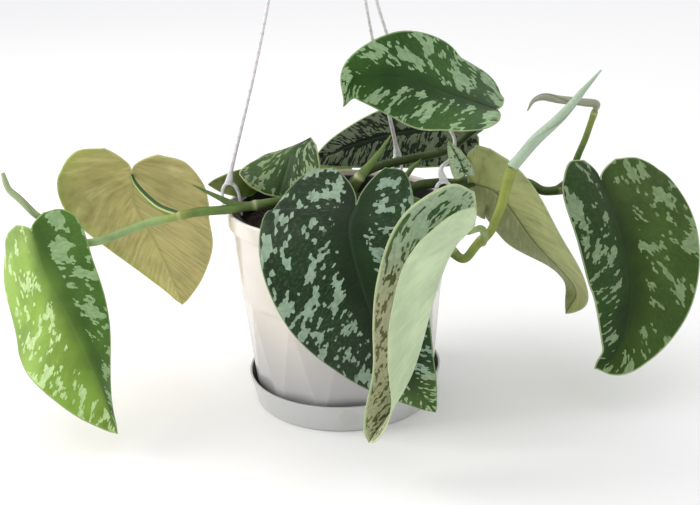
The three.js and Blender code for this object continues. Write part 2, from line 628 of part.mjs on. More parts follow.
function hookSolid() {
  const { crownBottom, crownHeight, crownRadius, crownChamfer, crownPeak } = HANGER;
  const base = crownBottom + crownHeight;
  const crown = lathe([
    [0, crownBottom], [crownRadius, crownBottom], [crownRadius, base - crownChamfer],
    [HOOK.wire + 1, base + crownPeak], [0, base + crownPeak],
  ], ROUND / 2);
  const centre = base + HOOK.neck + HOOK.radius;
  const path = [[0, 0, base - HOOK.sunk], [0, 0, base + HOOK.rise]];
  for (let turn = HOOK.arcFrom; turn <= HOOK.arcTo; turn += HOOK.arcStep) {
    path.push([HOOK.radius * Math.cos(rad(turn)), 0, centre + HOOK.radius * Math.sin(rad(turn))]);
  }
  path.push([-HOOK.radius - 1, 0, centre - 1]);
  return crown.add(taperedTube(path, [HOOK.wire, HOOK.wire, HOOK.wire, HOOK.tip], HOOK.step));
}

// ---------------------------------------------------------------- the part

const COLOURS = {
  white: { color: 0xf4f3f0, roughness: 0.28, metalness: 0 },
  black: { color: 0x17171a, roughness: 0.5, metalness: 0 },
  earth: { color: 0x2a1f18, roughness: 0.95, metalness: 0 },
  stem: { color: 0x5f7434, roughness: 0.5, metalness: 0 },
  blade: { color: 0x3a5a34, roughness: 0.55, metalness: 0 },
  bud: { color: 0xa9bf97, roughness: 0.5, metalness: 0 },
};

const part = new THREE.Group();

function addPiece(name, solid, colour) {
  const mesh = new THREE.Mesh(toGeometry(solid), new THREE.MeshStandardMaterial(COLOURS[colour]));
  mesh.name = name;
  part.add(mesh);
}

const largestBody = (solid) => solid.decompose().sort((a, b) => b.volume() - a.volume())[0];
const joined = (solids) => solids.reduce((sum, solid) => sum.add(solid));
const blades = Object.values(LEAVES).map((leaf) => bladeSolid(leaf, BLADE + 2 * GAP));
const budSockets = Object.values(ROLLED_LEAVES).map((bud) => budSolid(bud, GAP));

addPiece('saucer', saucerSolid(), 'white');
addPiece('pot', facetedBody().subtract(potCavity()), 'white');
addPiece('nursery_pot', nurserySolid(), 'black');

const bores = Object.values(VINES).map((tubes) => tubeSolid(tubes[0], GAP));
addPiece('soil', soilSolid().subtract(joined(bores)), 'earth');

for (const [name, strand] of Object.entries(STRANDS)) addPiece(name, strandSolid(strand), 'white');
addPiece('hanger_hook', hookSolid(), 'white');

for (const [name, tubes] of Object.entries(VINES)) {
  let vine = joined(tubes.map((tube) => tubeSolid(tube)));
  for (const blade of blades) vine = vine.subtract(blade);
  for (const bud of budSockets) vine = vine.subtract(bud);
  addPiece(name, largestBody(vine), 'stem');
}

for (const [name, leaf] of Object.entries(LEAVES)) addPiece(name, bladeSolid(leaf, BLADE), 'blade');
for (const [name, bud] of Object.entries(ROLLED_LEAVES)) addPiece(name, budSolid(bud), 'bud');

export default part;
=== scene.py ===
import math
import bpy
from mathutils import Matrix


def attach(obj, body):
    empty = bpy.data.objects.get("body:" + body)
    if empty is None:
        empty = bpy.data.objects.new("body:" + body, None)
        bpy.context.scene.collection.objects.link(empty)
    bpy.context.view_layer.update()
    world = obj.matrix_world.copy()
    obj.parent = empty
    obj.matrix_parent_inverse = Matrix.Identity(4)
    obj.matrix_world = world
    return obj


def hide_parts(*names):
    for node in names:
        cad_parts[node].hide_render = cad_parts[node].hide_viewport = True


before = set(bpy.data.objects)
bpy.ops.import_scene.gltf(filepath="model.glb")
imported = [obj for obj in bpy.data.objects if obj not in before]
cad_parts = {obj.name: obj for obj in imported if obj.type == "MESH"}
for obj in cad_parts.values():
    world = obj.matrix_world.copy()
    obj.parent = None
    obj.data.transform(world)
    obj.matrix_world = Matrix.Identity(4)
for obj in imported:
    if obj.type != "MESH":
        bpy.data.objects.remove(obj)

# Dresses the potted satin pothos: fine leaf blades with silver blotches, stems, rolled young leaves,
# crumbly soil, and a glossy pot with its saucer, inner pot and hanger. Sizes are in millimetres here,
# and MM turns them into metres where a mesh is made. Node trees work in metres, but for the attributes
# of the leaves, which are in millimetres.

from types import SimpleNamespace as Values

import bpy
import numpy as np
from mathutils import Matrix, Vector

MM = 0.001
FULL_TURN = 2 * math.pi

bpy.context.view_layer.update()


# ------------------------------------------------------------------ meshes and curves

def colour(red, green, blue):
    """A display colour of 0 to 255 a channel as the linear colour that Blender takes."""
    def linear(value):
        share = value / 255
        return share / 12.92 if share <= 0.04045 else ((share + 0.055) / 1.055) ** 2.4
    return (linear(red), linear(green), linear(blue), 1.0)


def link(name, data):
    thing = bpy.data.objects.new(name, data)
    bpy.context.scene.collection.objects.link(thing)
    return thing


def new_piece(name, points, faces=(), edges=(), materials=()):
    """A smooth mesh object at the origin, from points in millimetres."""
    mesh = bpy.data.meshes.new(name)
    mesh.from_pydata((np.asarray(points, float) * MM).tolist(), list(edges), [list(face) for face in faces])
    mesh.shade_smooth()
    for material in materials:
        mesh.materials.append(material)
    return link(name, mesh)


def point_values(piece, **named):
    """Stores a number or a vector for each vertex, under the names that node trees read."""
    for name, values in named.items():
        values = np.asarray(values, np.float32)
        kind, field = ("FLOAT", "value") if values.ndim == 1 else ("FLOAT_VECTOR", "vector")
        piece.data.attributes.new(name, kind, "POINT").data.foreach_set(field, values.ravel())


def settle(piece, slot, *replaced):
    """Hands a finished piece over to the frame."""
    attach(piece, "root")
    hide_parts(*replaced)


def unit(vectors):
    return vectors / np.maximum(np.linalg.norm(vectors, axis=-1, keepdims=True), 1e-9)


def travelled_along(points):
    """How far along a line of points each of them lies."""
    return np.concatenate([[0], np.cumsum(np.linalg.norm(np.diff(points, axis=0), axis=1))])


def read_along(places, table_places, table):
    """Points between the rows of a table of points."""
    return np.stack([np.interp(places, table_places, table[:, k]) for k in range(3)], -1)


def spread(values, count):
    """A few values spread evenly over many places."""
    return np.interp(np.linspace(0, 1, count), np.linspace(0, 1, len(values)), values)


def padded(points):
    """The points with one more at each end, for a spline that needs a neighbour on both sides."""
    points = np.asarray(points, float)
    return np.vstack([2 * points[0] - points[1], points, 2 * points[-1] - points[-2]])


def uniform_spline(points, shares):
    """Catmull-Rom through the points, their steps all alike, at shares from 0 to 1."""
    points = padded(points)
    last = len(points) - 3
    place = np.clip(shares, 0, 1) * last
    first = np.minimum(place.astype(int), last - 1)
    w = (place - first)[:, None]
    a, b, c, d = (points[first + k] for k in range(4))
    return 0.5 * (2 * b + (c - a) * w + (2 * a - 5 * b + 4 * c - d) * w ** 2
                  + (3 * b - a - 3 * c + d) * w ** 3)


def centripetal_spline(points, steps=10):
    """Dense points of a centripetal Catmull-Rom curve, whose steps follow the gaps between its points."""
    points = padded(points)
    route = []
    for span in range(len(points) - 3):
        p0, p1, p2, p3 = points[span:span + 4]
        t0, t1, t2 = (max(np.linalg.norm(b - a) ** 0.5, 1e-4) for a, b in ((p0, p1), (p1, p2), (p2, p3)))
        start = ((p1 - p0) / t0 - (p2 - p0) / (t0 + t1) + (p2 - p1) / t1) * t1
        finish = ((p2 - p1) / t1 - (p3 - p1) / (t1 + t2) + (p3 - p2) / t2) * t1
        for w in np.arange(steps) / steps:
            route.append(p1 + start * w + (3 * (p2 - p1) - 2 * start - finish) * w ** 2
                         + (2 * (p1 - p2) + start + finish) * w ** 3)
    return np.array(route + [points[-2]])


def distance_to_line(points, line):
    """Distance from each point to a closed line of straight pieces."""
    start, step = line, np.roll(line, -1, axis=0) - line
    from_start = points[:, None, :] - start[None]
    share = (from_start * step).sum(2) / np.maximum((step ** 2).sum(1), 1e-9)
    nearest = from_start - np.clip(share, 0, 1)[:, :, None] * step
    return np.linalg.norm(nearest, axis=2).min(axis=1)


# ------------------------------------------------------------------ node graphs

class Signal:
    """The output of a node. It takes part in sums like a number, and [name] is a sister output."""

    def __init__(self, graph, socket):
        self.graph = graph
        self.socket = socket

    def __getitem__(self, output):
        return Signal(self.graph, self.socket.node.outputs[output])

    def __add__(self, other):
        return self.graph.math("ADD", self, other)

    def __sub__(self, other):
        return self.graph.math("SUBTRACT", self, other)

    def __rsub__(self, other):
        return self.graph.math("SUBTRACT", other, self)

    def __mul__(self, other):
        return self.graph.math("MULTIPLY", self, other)

    def __truediv__(self, other):
        return self.graph.math("DIVIDE", self, other)

    def __rtruediv__(self, other):
        return self.graph.math("DIVIDE", other, self)


class Graph:
    """Short ways to lay nodes into a tree and wire them."""

    def __init__(self, tree):
        self.tree = tree

    def feed(self, socket, value):
        if isinstance(value, Signal):
            self.tree.links.new(value.socket, socket)
        else:
            socket.default_value = value

    def add(self, kind, *numbered, **named):
        """Adds a node and gives its first output. The numbered values and the names with a capital are
        inputs, the other names are settings."""
        node = self.tree.nodes.new(kind)
        for name, value in named.items():
            if name[0].islower():
                setattr(node, name, value)
        for place, value in enumerate(numbered):
            self.feed(node.inputs[place], value)
        for name, value in named.items():
            if name[0].isupper():
                self.feed(node.inputs[name.replace("_", " ")], value)
        return Signal(self, node.outputs[0])

    def give(self, **results):
        """Wires the results of a node group and gives its tree."""
        outlet = self.tree.nodes.new("NodeGroupOutput")
        for name, value in results.items():
            self.feed(outlet.inputs[name.replace("_", " ")], value)
        return self.tree

    def math(self, operation, *values, **settings):
        return self.add("ShaderNodeMath", *values, operation=operation, **settings)

    def vector(self, operation, *values, **named):
        return self.add("ShaderNodeVectorMath", *values, operation=operation, **named)

    def triple(self, *numbers):
        return self.add("ShaderNodeCombineXYZ", *numbers)

    def part(self, vector, axis):
        return self.add("ShaderNodeSeparateXYZ", vector)[axis]

    def ramp(self, value, low, high, out_low=0.0, out_high=1.0, shape="SMOOTHSTEP"):
        return self.add("ShaderNodeMapRange", value, low, high, out_low, out_high, interpolation_type=shape)

    def mix(self, share, first, second, blend="MIX"):
        """Mixes two colours. Three plain numbers are a display colour."""
        mixed = self.add("ShaderNodeMix", share, data_type="RGBA", blend_type=blend)
        for place, tint in ((6, first), (7, second)):
            plain = isinstance(tint, tuple) and len(tint) == 3
            self.feed(mixed.socket.node.inputs[place], colour(*tint) if plain else tint)
        return mixed[2]

    def shade(self, tint, share):
        """A colour made darker or lighter by a number."""
        return self.mix(1.0, tint, self.add("ShaderNodeCombineColor", share, share, share), "MULTIPLY")

    def noise(self, vector, scale, detail, roughness):
        return self.add("ShaderNodeTexNoise", Vector=vector, Scale=scale, Detail=detail,
                        Roughness=roughness)["Fac"]

    def attribute(self, name, output="Fac"):
        return self.add("ShaderNodeAttribute", attribute_name=name)[output]

    def group(self, tree, **values):
        return self.add("ShaderNodeGroup", node_tree=tree, **values)

    def unevenness(self, size, fine_size):
        return self.group(CLOUDS, Size=size, Fine_Size=fine_size)


class Surface(Graph):
    """The graph of a new material, whose even values are set on the shader's own sockets."""

    def __init__(self, name, **even):
        self.material = bpy.data.materials.new(name)
        self.material.use_nodes = True
        super().__init__(self.material.node_tree)
        self.shader = self.tree.nodes["Principled BSDF"]
        for label, value in even.items():
            self.shader.inputs[label.replace("_", " ")].default_value = value

    def clad(self, base, rough, strength, depth, height):
        """Wires what varies over the surface, and gives its material."""
        bump = self.add("ShaderNodeBump", Strength=strength, Distance=depth, Height=height)
        for label, value in (("Base Color", base), ("Roughness", rough), ("Normal", bump)):
            self.feed(self.shader.inputs[label], value)
        return self.material


def new_tree(name, kind, inputs, outputs):
    """The graph of a new node group and what it is given. An input has a number, or the kind of a socket
    that has none."""
    tree = bpy.data.node_groups.new(name, f"{kind}NodeTree")
    for label, given in inputs.items():
        sort = {float: "Float", int: "Int"}.get(type(given), given)
        socket = tree.interface.new_socket(label, in_out="INPUT", socket_type=f"NodeSocket{sort}")
        if given != sort:
            socket.default_value = given
    for label in outputs:
        sort = "Float" if kind == "Shader" else "Geometry"
        tree.interface.new_socket(label, in_out="OUTPUT", socket_type=f"NodeSocket{sort}")
    graph = Graph(tree)
    return graph, graph.add("NodeGroupInput")


def geometry_tree(name, **inputs):
    """A geometry tree, which is given a geometry, numbers and a material."""
    named = {label.replace("_", " "): value for label, value in inputs.items()}
    return new_tree(name, "Geometry", {"Geometry": "Geometry", **named, "Material": "Material"}, ["Geometry"])


def close_tree(graph, given, geometry):
    """Makes every instance real, and paints it."""
    real = graph.add("GeometryNodeRealizeInstances", Geometry=geometry)
    painted = graph.add("GeometryNodeSetMaterial", Geometry=real, Material=given["Material"])
    return graph.give(Geometry=painted)


def run_tree(piece, tree, **values):
    """Runs a geometry tree on a piece and keeps the result as the piece's plain mesh."""
    modifier = piece.modifiers.new(tree.name, "NODES")
    modifier.node_group = tree
    for item in tree.interface.items_tree:
        label = item.name.replace(" ", "_")
        if label in values:
            modifier[item.identifier] = values[label]
    piece.update_tag()
    bpy.context.view_layer.update()
    made = bpy.data.meshes.new_from_object(piece.evaluated_get(bpy.context.evaluated_depsgraph_get()))
    piece.modifiers.clear()
    before = piece.data
    piece.data = made
    bpy.data.meshes.remove(before)
    made.name = piece.name
    return piece


# ------------------------------------------------------------------ shader node groups

def make_blotches():
    """Silver patches built of small cells between the finest veins, so that their edges are stepped."""
    stray_cells, near_rib, rarer_specks, edge = 0.055, 0.2, 0.07, 0.008
    graph, given = new_tree("silver_blotches", "Shader", {
        "Vein Space": "Vector", "Rib Distance": 10.0, "Clear Width": 9.0, "Cover": 0.5,
        "Cell Length": 2.2, "Cell Width": 1.2, "Patch Length": 13.5, "Patch Width": 5.5,
        "Mottle Length": 3.3, "Mottle Width": 1.1, "Seed": 0.0}, ["Mask", "Cell Tone", "Mottle"])
    cell, patch, streak = (graph.triple(given[f"{thing} Length"], given[f"{thing} Width"], 1.0)
                           for thing in ("Cell", "Patch", "Mottle"))
    space = graph.vector("ADD", given["Vein Space"], graph.triple(given["Seed"], given["Seed"], 0.0))
    areoles = graph.add("ShaderNodeTexVoronoi", voronoi_dimensions="2D", feature="F1",
                        Vector=graph.vector("DIVIDE", space, cell), Scale=1.0, Randomness=0.95)
    centre = graph.vector("MULTIPLY", areoles["Position"], cell)
    tone = graph.add("ShaderNodeSeparateColor", areoles["Color"])
    stray = (tone - 0.5) * stray_cells
    place = graph.vector("DIVIDE", centre, patch)
    clear = given["Clear Width"]
    rarer = graph.ramp(given["Rib Distance"], clear * 0.25, clear, near_rib, 0.0)
    level = 1.0 - given["Cover"] + rarer
    large = graph.noise(place, 1.0, 2.0, 0.55) + stray - level
    small = graph.noise(place, 2.4, 1.0, 0.4) + stray - (level + rarer_specks)
    mask = graph.math("MAXIMUM", graph.ramp(large, 0.0, edge), graph.ramp(small, 0.0, edge))
    mottle = graph.noise(graph.vector("DIVIDE", space, streak), 1.0, 3.0, 0.6)
    return graph.give(Mask=mask, Cell_Tone=tone, Mottle=mottle)


def make_veins():
    """Fine side veins as a mask, and a fine satin grain, both also as one height."""
    drift, sharpness, depth = 9.0, 5.0, -0.5
    graph, given = new_tree("side_veins", "Shader", {
        "Vein Space": "Vector", "Spacing": 2.6, "Grain": 0.35}, ["Lines", "Height"])

    def noise(along, across, detail, roughness):
        place = graph.vector("MULTIPLY", given["Vein Space"], (along, across, 1.0))
        return graph.noise(place, 1.0, detail, roughness)

    across = graph.part(given["Vein Space"], "Y") + noise(0.05, 0.12, 1.0, 0.5) * drift
    wave = graph.math("SINE", across / given["Spacing"] * FULL_TURN) * 0.5 + 0.5
    lines = graph.math("POWER", wave, sharpness) * graph.ramp(noise(0.06, 0.10, 2.0, 0.5), 0.35, 0.65)
    return graph.give(Lines=lines, Height=noise(1.6, 2.6, 2.0, 0.6) * given["Grain"] + lines * depth)


def make_clouds():
    """Slow and fine unevenness of a surface, from Object coordinates in metres and sizes in millimetres."""
    graph, given = new_tree("uneven_surface", "Shader", {"Size": 30.0, "Fine Size": 2.0}, ["Slow", "Fine"])
    where = graph.add("ShaderNodeTexCoord")["Object"]
    return graph.give(Slow=graph.noise(where, 1 / MM / given["Size"], 3.0, 0.55),
                      Fine=graph.noise(where, 1 / MM / given["Fine Size"], 2.0, 0.6))


BLOTCHES = make_blotches()
VEINS = make_veins()
CLOUDS = make_clouds()

# ------------------------------------------------------------------ leaf materials

LEAF_GLOW = (0.45, 1.0, 0.30)       # how far each colour of light travels inside a leaf


def leaf_surface(name, look, glow, gloss, vein_spacing, grain, mottle):
    """The graph of one face of a blade, and what it reads: its attributes, blotches, veins, unevenness."""
    graph = Surface(name, Subsurface_Weight=glow, Subsurface_Scale=0.004, Subsurface_Radius=LEAF_GLOW,
                    Specular_IOR_Level=gloss)
    space = graph.attribute("vein_space", "Vector")
    side, rib = graph.attribute("side"), graph.attribute("rib_mm")
    cover = graph.ramp(side, -0.05, 0.05, *look["cover"])
    clear = graph.ramp(graph.attribute("rib_share"), 0.65, 0.92, look["clear"], look["clear"] * 0.1)
    sizes = {}
    for thing, (length, width) in (("Cell", look["cell"]), ("Patch", look["patch"]), ("Mottle", mottle)):
        sizes.update({f"{thing}_Length": length, f"{thing}_Width": width})
    return graph, Values(
        side=side, rib=rib, edge=graph.attribute("edge_mm"), cloud=graph.unevenness(26.0, 1.4),
        blotch=graph.group(BLOTCHES, Vein_Space=space, Rib_Distance=rib, Clear_Width=clear, Cover=cover,
                           Seed=look["seed"], **sizes),
        vein=graph.group(VEINS, Vein_Space=space, Spacing=vein_spacing, Grain=grain))


def on_halves(graph, read, look, tints):
    """A colour on each side of the midrib, where one colour may serve both."""
    left, right = tints if isinstance(tints[0], tuple) else (tints, tints)
    return graph.mix(graph.ramp(read.side, -look["side_blend"], look["side_blend"]), left, right)


def leaf_top_material(name, look):
    """The upper face of a blade: green on both sides of the midrib, silver patches, a pale margin line."""
    graph, read = leaf_surface(name, look, 0.10, 0.15, 2.4, 0.35, (3.3, 1.1))
    green, silver = (on_halves(graph, read, look, look[tints]) for tints in ("green", "silver"))
    if "end_green" in look:
        at_end = graph.ramp(graph.attribute("rib_share"), *look["end_reach"], 1.0, 0.0)
        green, silver = (graph.mix(at_end, *pair) for pair in (
            (green, look["end_green"]), (silver, look["end_silver"])))
    darker = graph.ramp(read.rib, 0.0, 18.0, look["rib_shade"], 1.05)
    green = graph.shade(green, darker * graph.ramp(read.cloud["Slow"], 0.3, 0.7, 0.80, 1.20))
    green = graph.mix(read.vein["Lines"] * 0.02, green, silver)
    silver = graph.shade(silver, graph.ramp(read.blotch["Cell Tone"], 0.0, 1.0, 0.90, 1.18, "LINEAR"))
    mottle, clear = read.blotch["Mottle"], look["clear"]
    streaks = (graph.ramp(mottle, 0.45, 0.70, 0.0, look["streaks"])
               * graph.ramp(read.rib, clear * 0.5, clear * 1.2, 0.15, 1.0))
    patched = graph.mix(read.blotch["Mask"], graph.mix(streaks, green, silver), silver)
    patched = graph.mix(graph.ramp(mottle, 0.32, 0.5, 0.22, 0.0), patched, green)
    patched = graph.mix(graph.ramp(read.rib, 0.35, 1.1, 0.28, 0.0), patched, look["rib"])
    margin = graph.ramp(read.edge, look["margin_width"] * 0.4, look["margin_width"], 0.85, 0.0)
    rough = read.cloud["Fine"] * 0.08 + graph.ramp(read.blotch["Mask"], 0.0, 1.0, 0.40, 0.58)
    return graph.clad(graph.mix(margin, patched, look["margin"]), rough, 0.07, 0.00025, read.vein["Height"])


def leaf_under_material(name, look):
    """The underside: pale and matt, with the patches showing through faintly, and streaks along the veins."""
    graph, read = leaf_surface(name, look, 0.15, 0.25, 2.9, 0.25, (26.0, 3.4))
    base = on_halves(graph, read, look, look["under"])
    if "under_edge" in look:
        base = graph.mix(graph.ramp(read.side, *look["edge_reach"], 0.0, 0.85), base, look["under_edge"])
    base = graph.shade(base, graph.ramp(read.cloud["Slow"], 0.3, 0.7, 0.86, 1.14))
    streaks = look["under_streaks"]
    for share, tint in (
            (read.blotch["Mask"] * 0.06, "under_vein"), (read.vein["Lines"] * 0.06, "under_vein"),
            (graph.ramp(read.blotch["Mottle"], 0.50, 0.72, 0.0, streaks), "under_vein"),
            (graph.ramp(read.blotch["Mottle"], 0.50, 0.30, 0.0, streaks), "under_dark"),
            (graph.ramp(read.rib, 0.6, 1.8, 0.6, 0.0), "under_rib"),
            (graph.ramp(read.edge, 0.4, 1.0, 0.8, 0.0), "margin")):
        base = graph.mix(share, base, look[tint])
    return graph.clad(base, read.cloud["Fine"] * 0.1 + 0.55, 0.25, 0.0003, read.vein["Height"])


# ------------------------------------------------------------------ leaf blades

# Half of the flat outline, from the back of the lobe round to the tip, as shares of width and length.
LEAF_EDGE = [(0.17, -0.135), (0.36, -0.115), (0.49, 0.04), (0.50, 0.27),
             (0.415, 0.54), (0.24, 0.80), (0.075, 0.95), (0, 1)]

# How the rows of a blade sweep, as in the solids.
ROW_LOBES, ROW_MIDRIB, ROW_LOBE_OUT = 0.25, 1.25, 1.5
ROW_LOBE_SWEEP, ROW_MIDDLE_SWEEP, ROW_TIP_SWEEP = 0.85, 1.25, 1.35
BLUNT_START, BLUNT_END = 0.6, 0.9   # where along a blade a blunt tip widens

# How far a side vein leans towards the tip for each millimetre outwards, by where it leaves the midrib.
VEIN_STARTS = (-0.10, 0.0, 0.06, 0.16, 0.5, 1.0, 1.3)
VEIN_LEANS = (-0.9, -0.35, 0.1, 0.42, 0.75, 1.1, 1.2)
LOWEST_VEIN, HIGHEST_VEIN = -0.6, 1.3    # where on a midrib veins are sought, as shares of its length
VEIN_HALVINGS = 30
FAN_RADIUS = 40                  # where fanned veins are as far apart as on other blades
HALVES_APART = 70                # keeps the patterns of a blade's two halves unlike
PATTERN_SHIFT = 37.0             # keeps the patterns of two blades unlike

SPINE_POINTS = 161               # along a midrib, where its length is measured
COLUMNS, ROWS = 60, 84           # of a blade's mesh, from margin to margin and from lobe to tip
COLUMN_CROWDING = 1.3            # crowds the columns towards the midrib
BLADE, MARGIN_BLADE = 0.8, 0.5   # thickness at the midrib and at the margin
MARGIN_REACH = 2.5               # how far in from the margin a blade is thinner
GROOVE, GROOVE_WIDTH = 0.55, 1.3     # depth of the midrib's groove above, and its half width
RIB, RIB_WIDTH = 1.05, 1.25          # how far the midrib stands out below, and its half width
MIDRIB_END = 1.15                    # where the midrib would have faded out, past the tip
PUCKER, PUCKER_SPACING = 0.2, 10.5   # height of the puckers between side veins, and their spacing
WAVE, WAVES_ALONG = 0.5, 3.3         # height of the margin's waves where a leaf gives none, and their number
WAVE_SHIFT, WAVE_ENDS = 0.37, 6      # how each blade's waves differ, and how fast they end at both ends


def midrib_face(leaf, share):
    """The way that the midrib's top looks, swinging from the base over the middle to the tip."""
    faces = [unit(np.asarray(face, float)) for face in leaf["faces"]]
    base, middle, tip = faces if len(faces) == 3 else (faces[0], (faces[0] + faces[1]) / 2, faces[1])
    return base * (1 - share) ** 2 + 2 * middle * share * (1 - share) + tip * share ** 2


def blade_sheet(leaf, side, along):
    """Middle surface of a blade: its points, the way its top looks, and the flat place of each point."""
    spine = uniform_spline(leaf["midrib"], np.linspace(0, 1, SPINE_POINTS))
    travelled = travelled_along(spine)
    length = travelled[-1]
    out, sign = np.abs(side), np.sign(side)
    edge = uniform_spline(LEAF_EDGE, along)
    blunt_share = np.clip((along - BLUNT_START) / (BLUNT_END - BLUNT_START), 0, 1)
    edge_x = edge[:, 0] * (1 + leaf.get("blunt", 0) * blunt_share ** 2)
    tip_y = np.clip(edge[:, 1], 0, None) ** leaf["shoulder"]
    edge_y = np.where(edge[:, 1] < 0, edge[:, 1] * leaf["lobe"], tip_y)
    rib_y = along ** ROW_MIDRIB
    past_lobes = np.minimum(along / ROW_LOBES, 1)
    towards_tip = np.maximum(along - ROW_LOBES, 0) / (1 - ROW_LOBES)
    crowding = ROW_LOBE_OUT + (1 - ROW_LOBE_OUT) * past_lobes
    sweep = ROW_LOBE_SWEEP + (ROW_MIDDLE_SWEEP - ROW_LOBE_SWEEP) * past_lobes
    sweep = sweep + (ROW_TIP_SWEEP - sweep) * towards_tip
    x = edge_x * out ** crowding * leaf["width"] * (1 + sign * leaf["skew"])
    y = (rib_y + (edge_y - rib_y) * out ** sweep) * length

    inside = np.clip(y, 0, length)
    tangent = unit(read_along(inside, travelled, unit(np.gradient(spine, travelled, axis=0))))
    centre = read_along(inside, travelled, spine) + tangent * (y - inside)[:, None]
    share = inside / length
    face = midrib_face(leaf, share[:, None])
    face = unit(face - (face * tangent).sum(1)[:, None] * tangent)
    across = np.cross(tangent, face)

    fold_right, fold_left = (base + (tip - base) * share for base, tip in leaf["folds"])
    start = np.radians(np.where(side > 0, fold_right, fold_left))
    bend = np.radians(np.where(side > 0, *leaf["curls"])) / (leaf["width"] / 2)
    bend = np.where(np.abs(bend) < 1e-6, 1e-6, bend)
    turn = start + bend * x
    reach = (np.sin(turn) - np.sin(start)) / bend
    lift = (np.cos(start) - np.cos(turn)) / bend
    points = centre + across * (sign * reach)[:, None] + face * lift[:, None]
    soft_turn = turn * np.clip(x / 2.0, 0, 1)
    facing = face * np.cos(soft_turn)[:, None] - across * (sign * np.sin(soft_turn))[:, None]
    return points, unit(facing), x, y, length


def vein_place(leaf, side, x, y, length):
    """Place of a point along and across the side veins, in millimetres. A vein leaves the midrib at its
    start and leans over as it goes out, but on a fanned blade all the veins come from the tip."""
    if leaf.get("fanned"):
        behind = length - y
        return np.hypot(x, behind), np.arctan2(np.sign(side) * x, behind) * FAN_RADIUS
    leans = np.add(VEIN_LEANS, leaf.get("vein_lean", 0))
    low, high = np.full_like(y, LOWEST_VEIN * length), np.full_like(y, HIGHEST_VEIN * length)
    for _ in range(VEIN_HALVINGS):   # narrows down the start from which a vein reaches the point
        start = (low + high) / 2
        short = start + np.interp(start / length, VEIN_STARTS, leans) * x < y
        low, high = np.where(short, start, low), np.where(short, high, start)
    return x * np.sqrt(1 + np.interp(start / length, VEIN_STARTS, leans) ** 2), start


def blade_relief(leaf, side, along, x, vein):
    """How far the top and the underside stand off the plain sheet: midrib, side veins, waves."""
    out = np.abs(side)
    fade = np.clip(MIDRIB_END - along, 0, 1)
    pucker = np.cos(FULL_TURN * vein / PUCKER_SPACING + leaf["seed"])
    pucker = PUCKER * pucker * np.sin(math.pi * np.clip(out, 0, 1)) ** 0.7
    turns = WAVES_ALONG * along + WAVE_SHIFT * leaf["seed"]
    wave = leaf.get("wave", WAVE) * out ** 3 * np.sin(FULL_TURN * turns + side)
    wave = wave * np.clip(along * WAVE_ENDS, 0, 1) * np.clip((1 - along) * WAVE_ENDS, 0, 1)
    return (pucker + wave - GROOVE * np.exp(-(x / GROOVE_WIDTH) ** 2) * fade,
            pucker + wave - RIB * np.exp(-(x / RIB_WIDTH) ** 2) * fade)


def blade_piece(name, leaf, materials):
    """A closed blade with its relief, a thinner rounded margin, and what its materials read."""
    row_points = COLUMNS + 1
    steps = np.linspace(-1, 1, row_points)
    sides = np.sign(steps) * np.abs(steps) ** COLUMN_CROWDING
    side = np.concatenate([np.tile(sides, ROWS), [0.0]])
    along = np.concatenate([np.repeat(np.linspace(0, 1, ROWS + 1)[:-1], row_points), [1.0]])
    points, facing, x, y, length = blade_sheet(leaf, side, along)
    reach, vein = vein_place(leaf, side, x, y, length)

    tip = ROWS * row_points      # the last point is the tip, where all columns meet
    upper = []
    for row in range(ROWS):
        for a in range(row * row_points, row * row_points + COLUMNS):
            beyond = (tip,) if row == ROWS - 1 else (a + row_points + 1, a + row_points)
            upper.append((a, a + 1, *beyond))
    margin = list(range(row_points)) + [row * row_points + COLUMNS for row in range(1, ROWS)]
    margin += [tip] + [row * row_points for row in range(ROWS - 1, 0, -1)]
    edge_mm = distance_to_line(points, points[margin])
    thick = MARGIN_BLADE + (BLADE - MARGIN_BLADE) * np.clip(edge_mm / MARGIN_REACH, 0, 1)
    top_relief, under_relief = blade_relief(leaf, side, along, x, vein)
    top = points + facing * (top_relief + thick / 2)[:, None]
    under = points + facing * (under_relief - thick / 2)[:, None]

    layer = len(points)
    lower = [tuple(layer + i for i in reversed(face)) for face in upper]
    wall = [(a, layer + a, layer + b, b) for a, b in zip(margin, margin[1:] + margin[:1])]
    piece = new_piece(name, np.vstack([top, under]), upper + lower + wall, materials=materials)
    kinds = np.repeat([0, 1, 0], [len(upper), len(lower), len(wall)]).astype(np.int32)
    piece.data.polygons.foreach_set("material_index", kinds)
    space = np.stack([reach, vein + np.where(side > 0, HALVES_APART, 0), 0 * x], -1)
    point_values(piece, vein_space=np.tile(space, (2, 1)), side=np.tile(side, 2),
                 rib_share=np.tile(y / length, 2), rib_mm=np.tile(x, 2), edge_mm=np.tile(edge_mm, 2))
    return piece


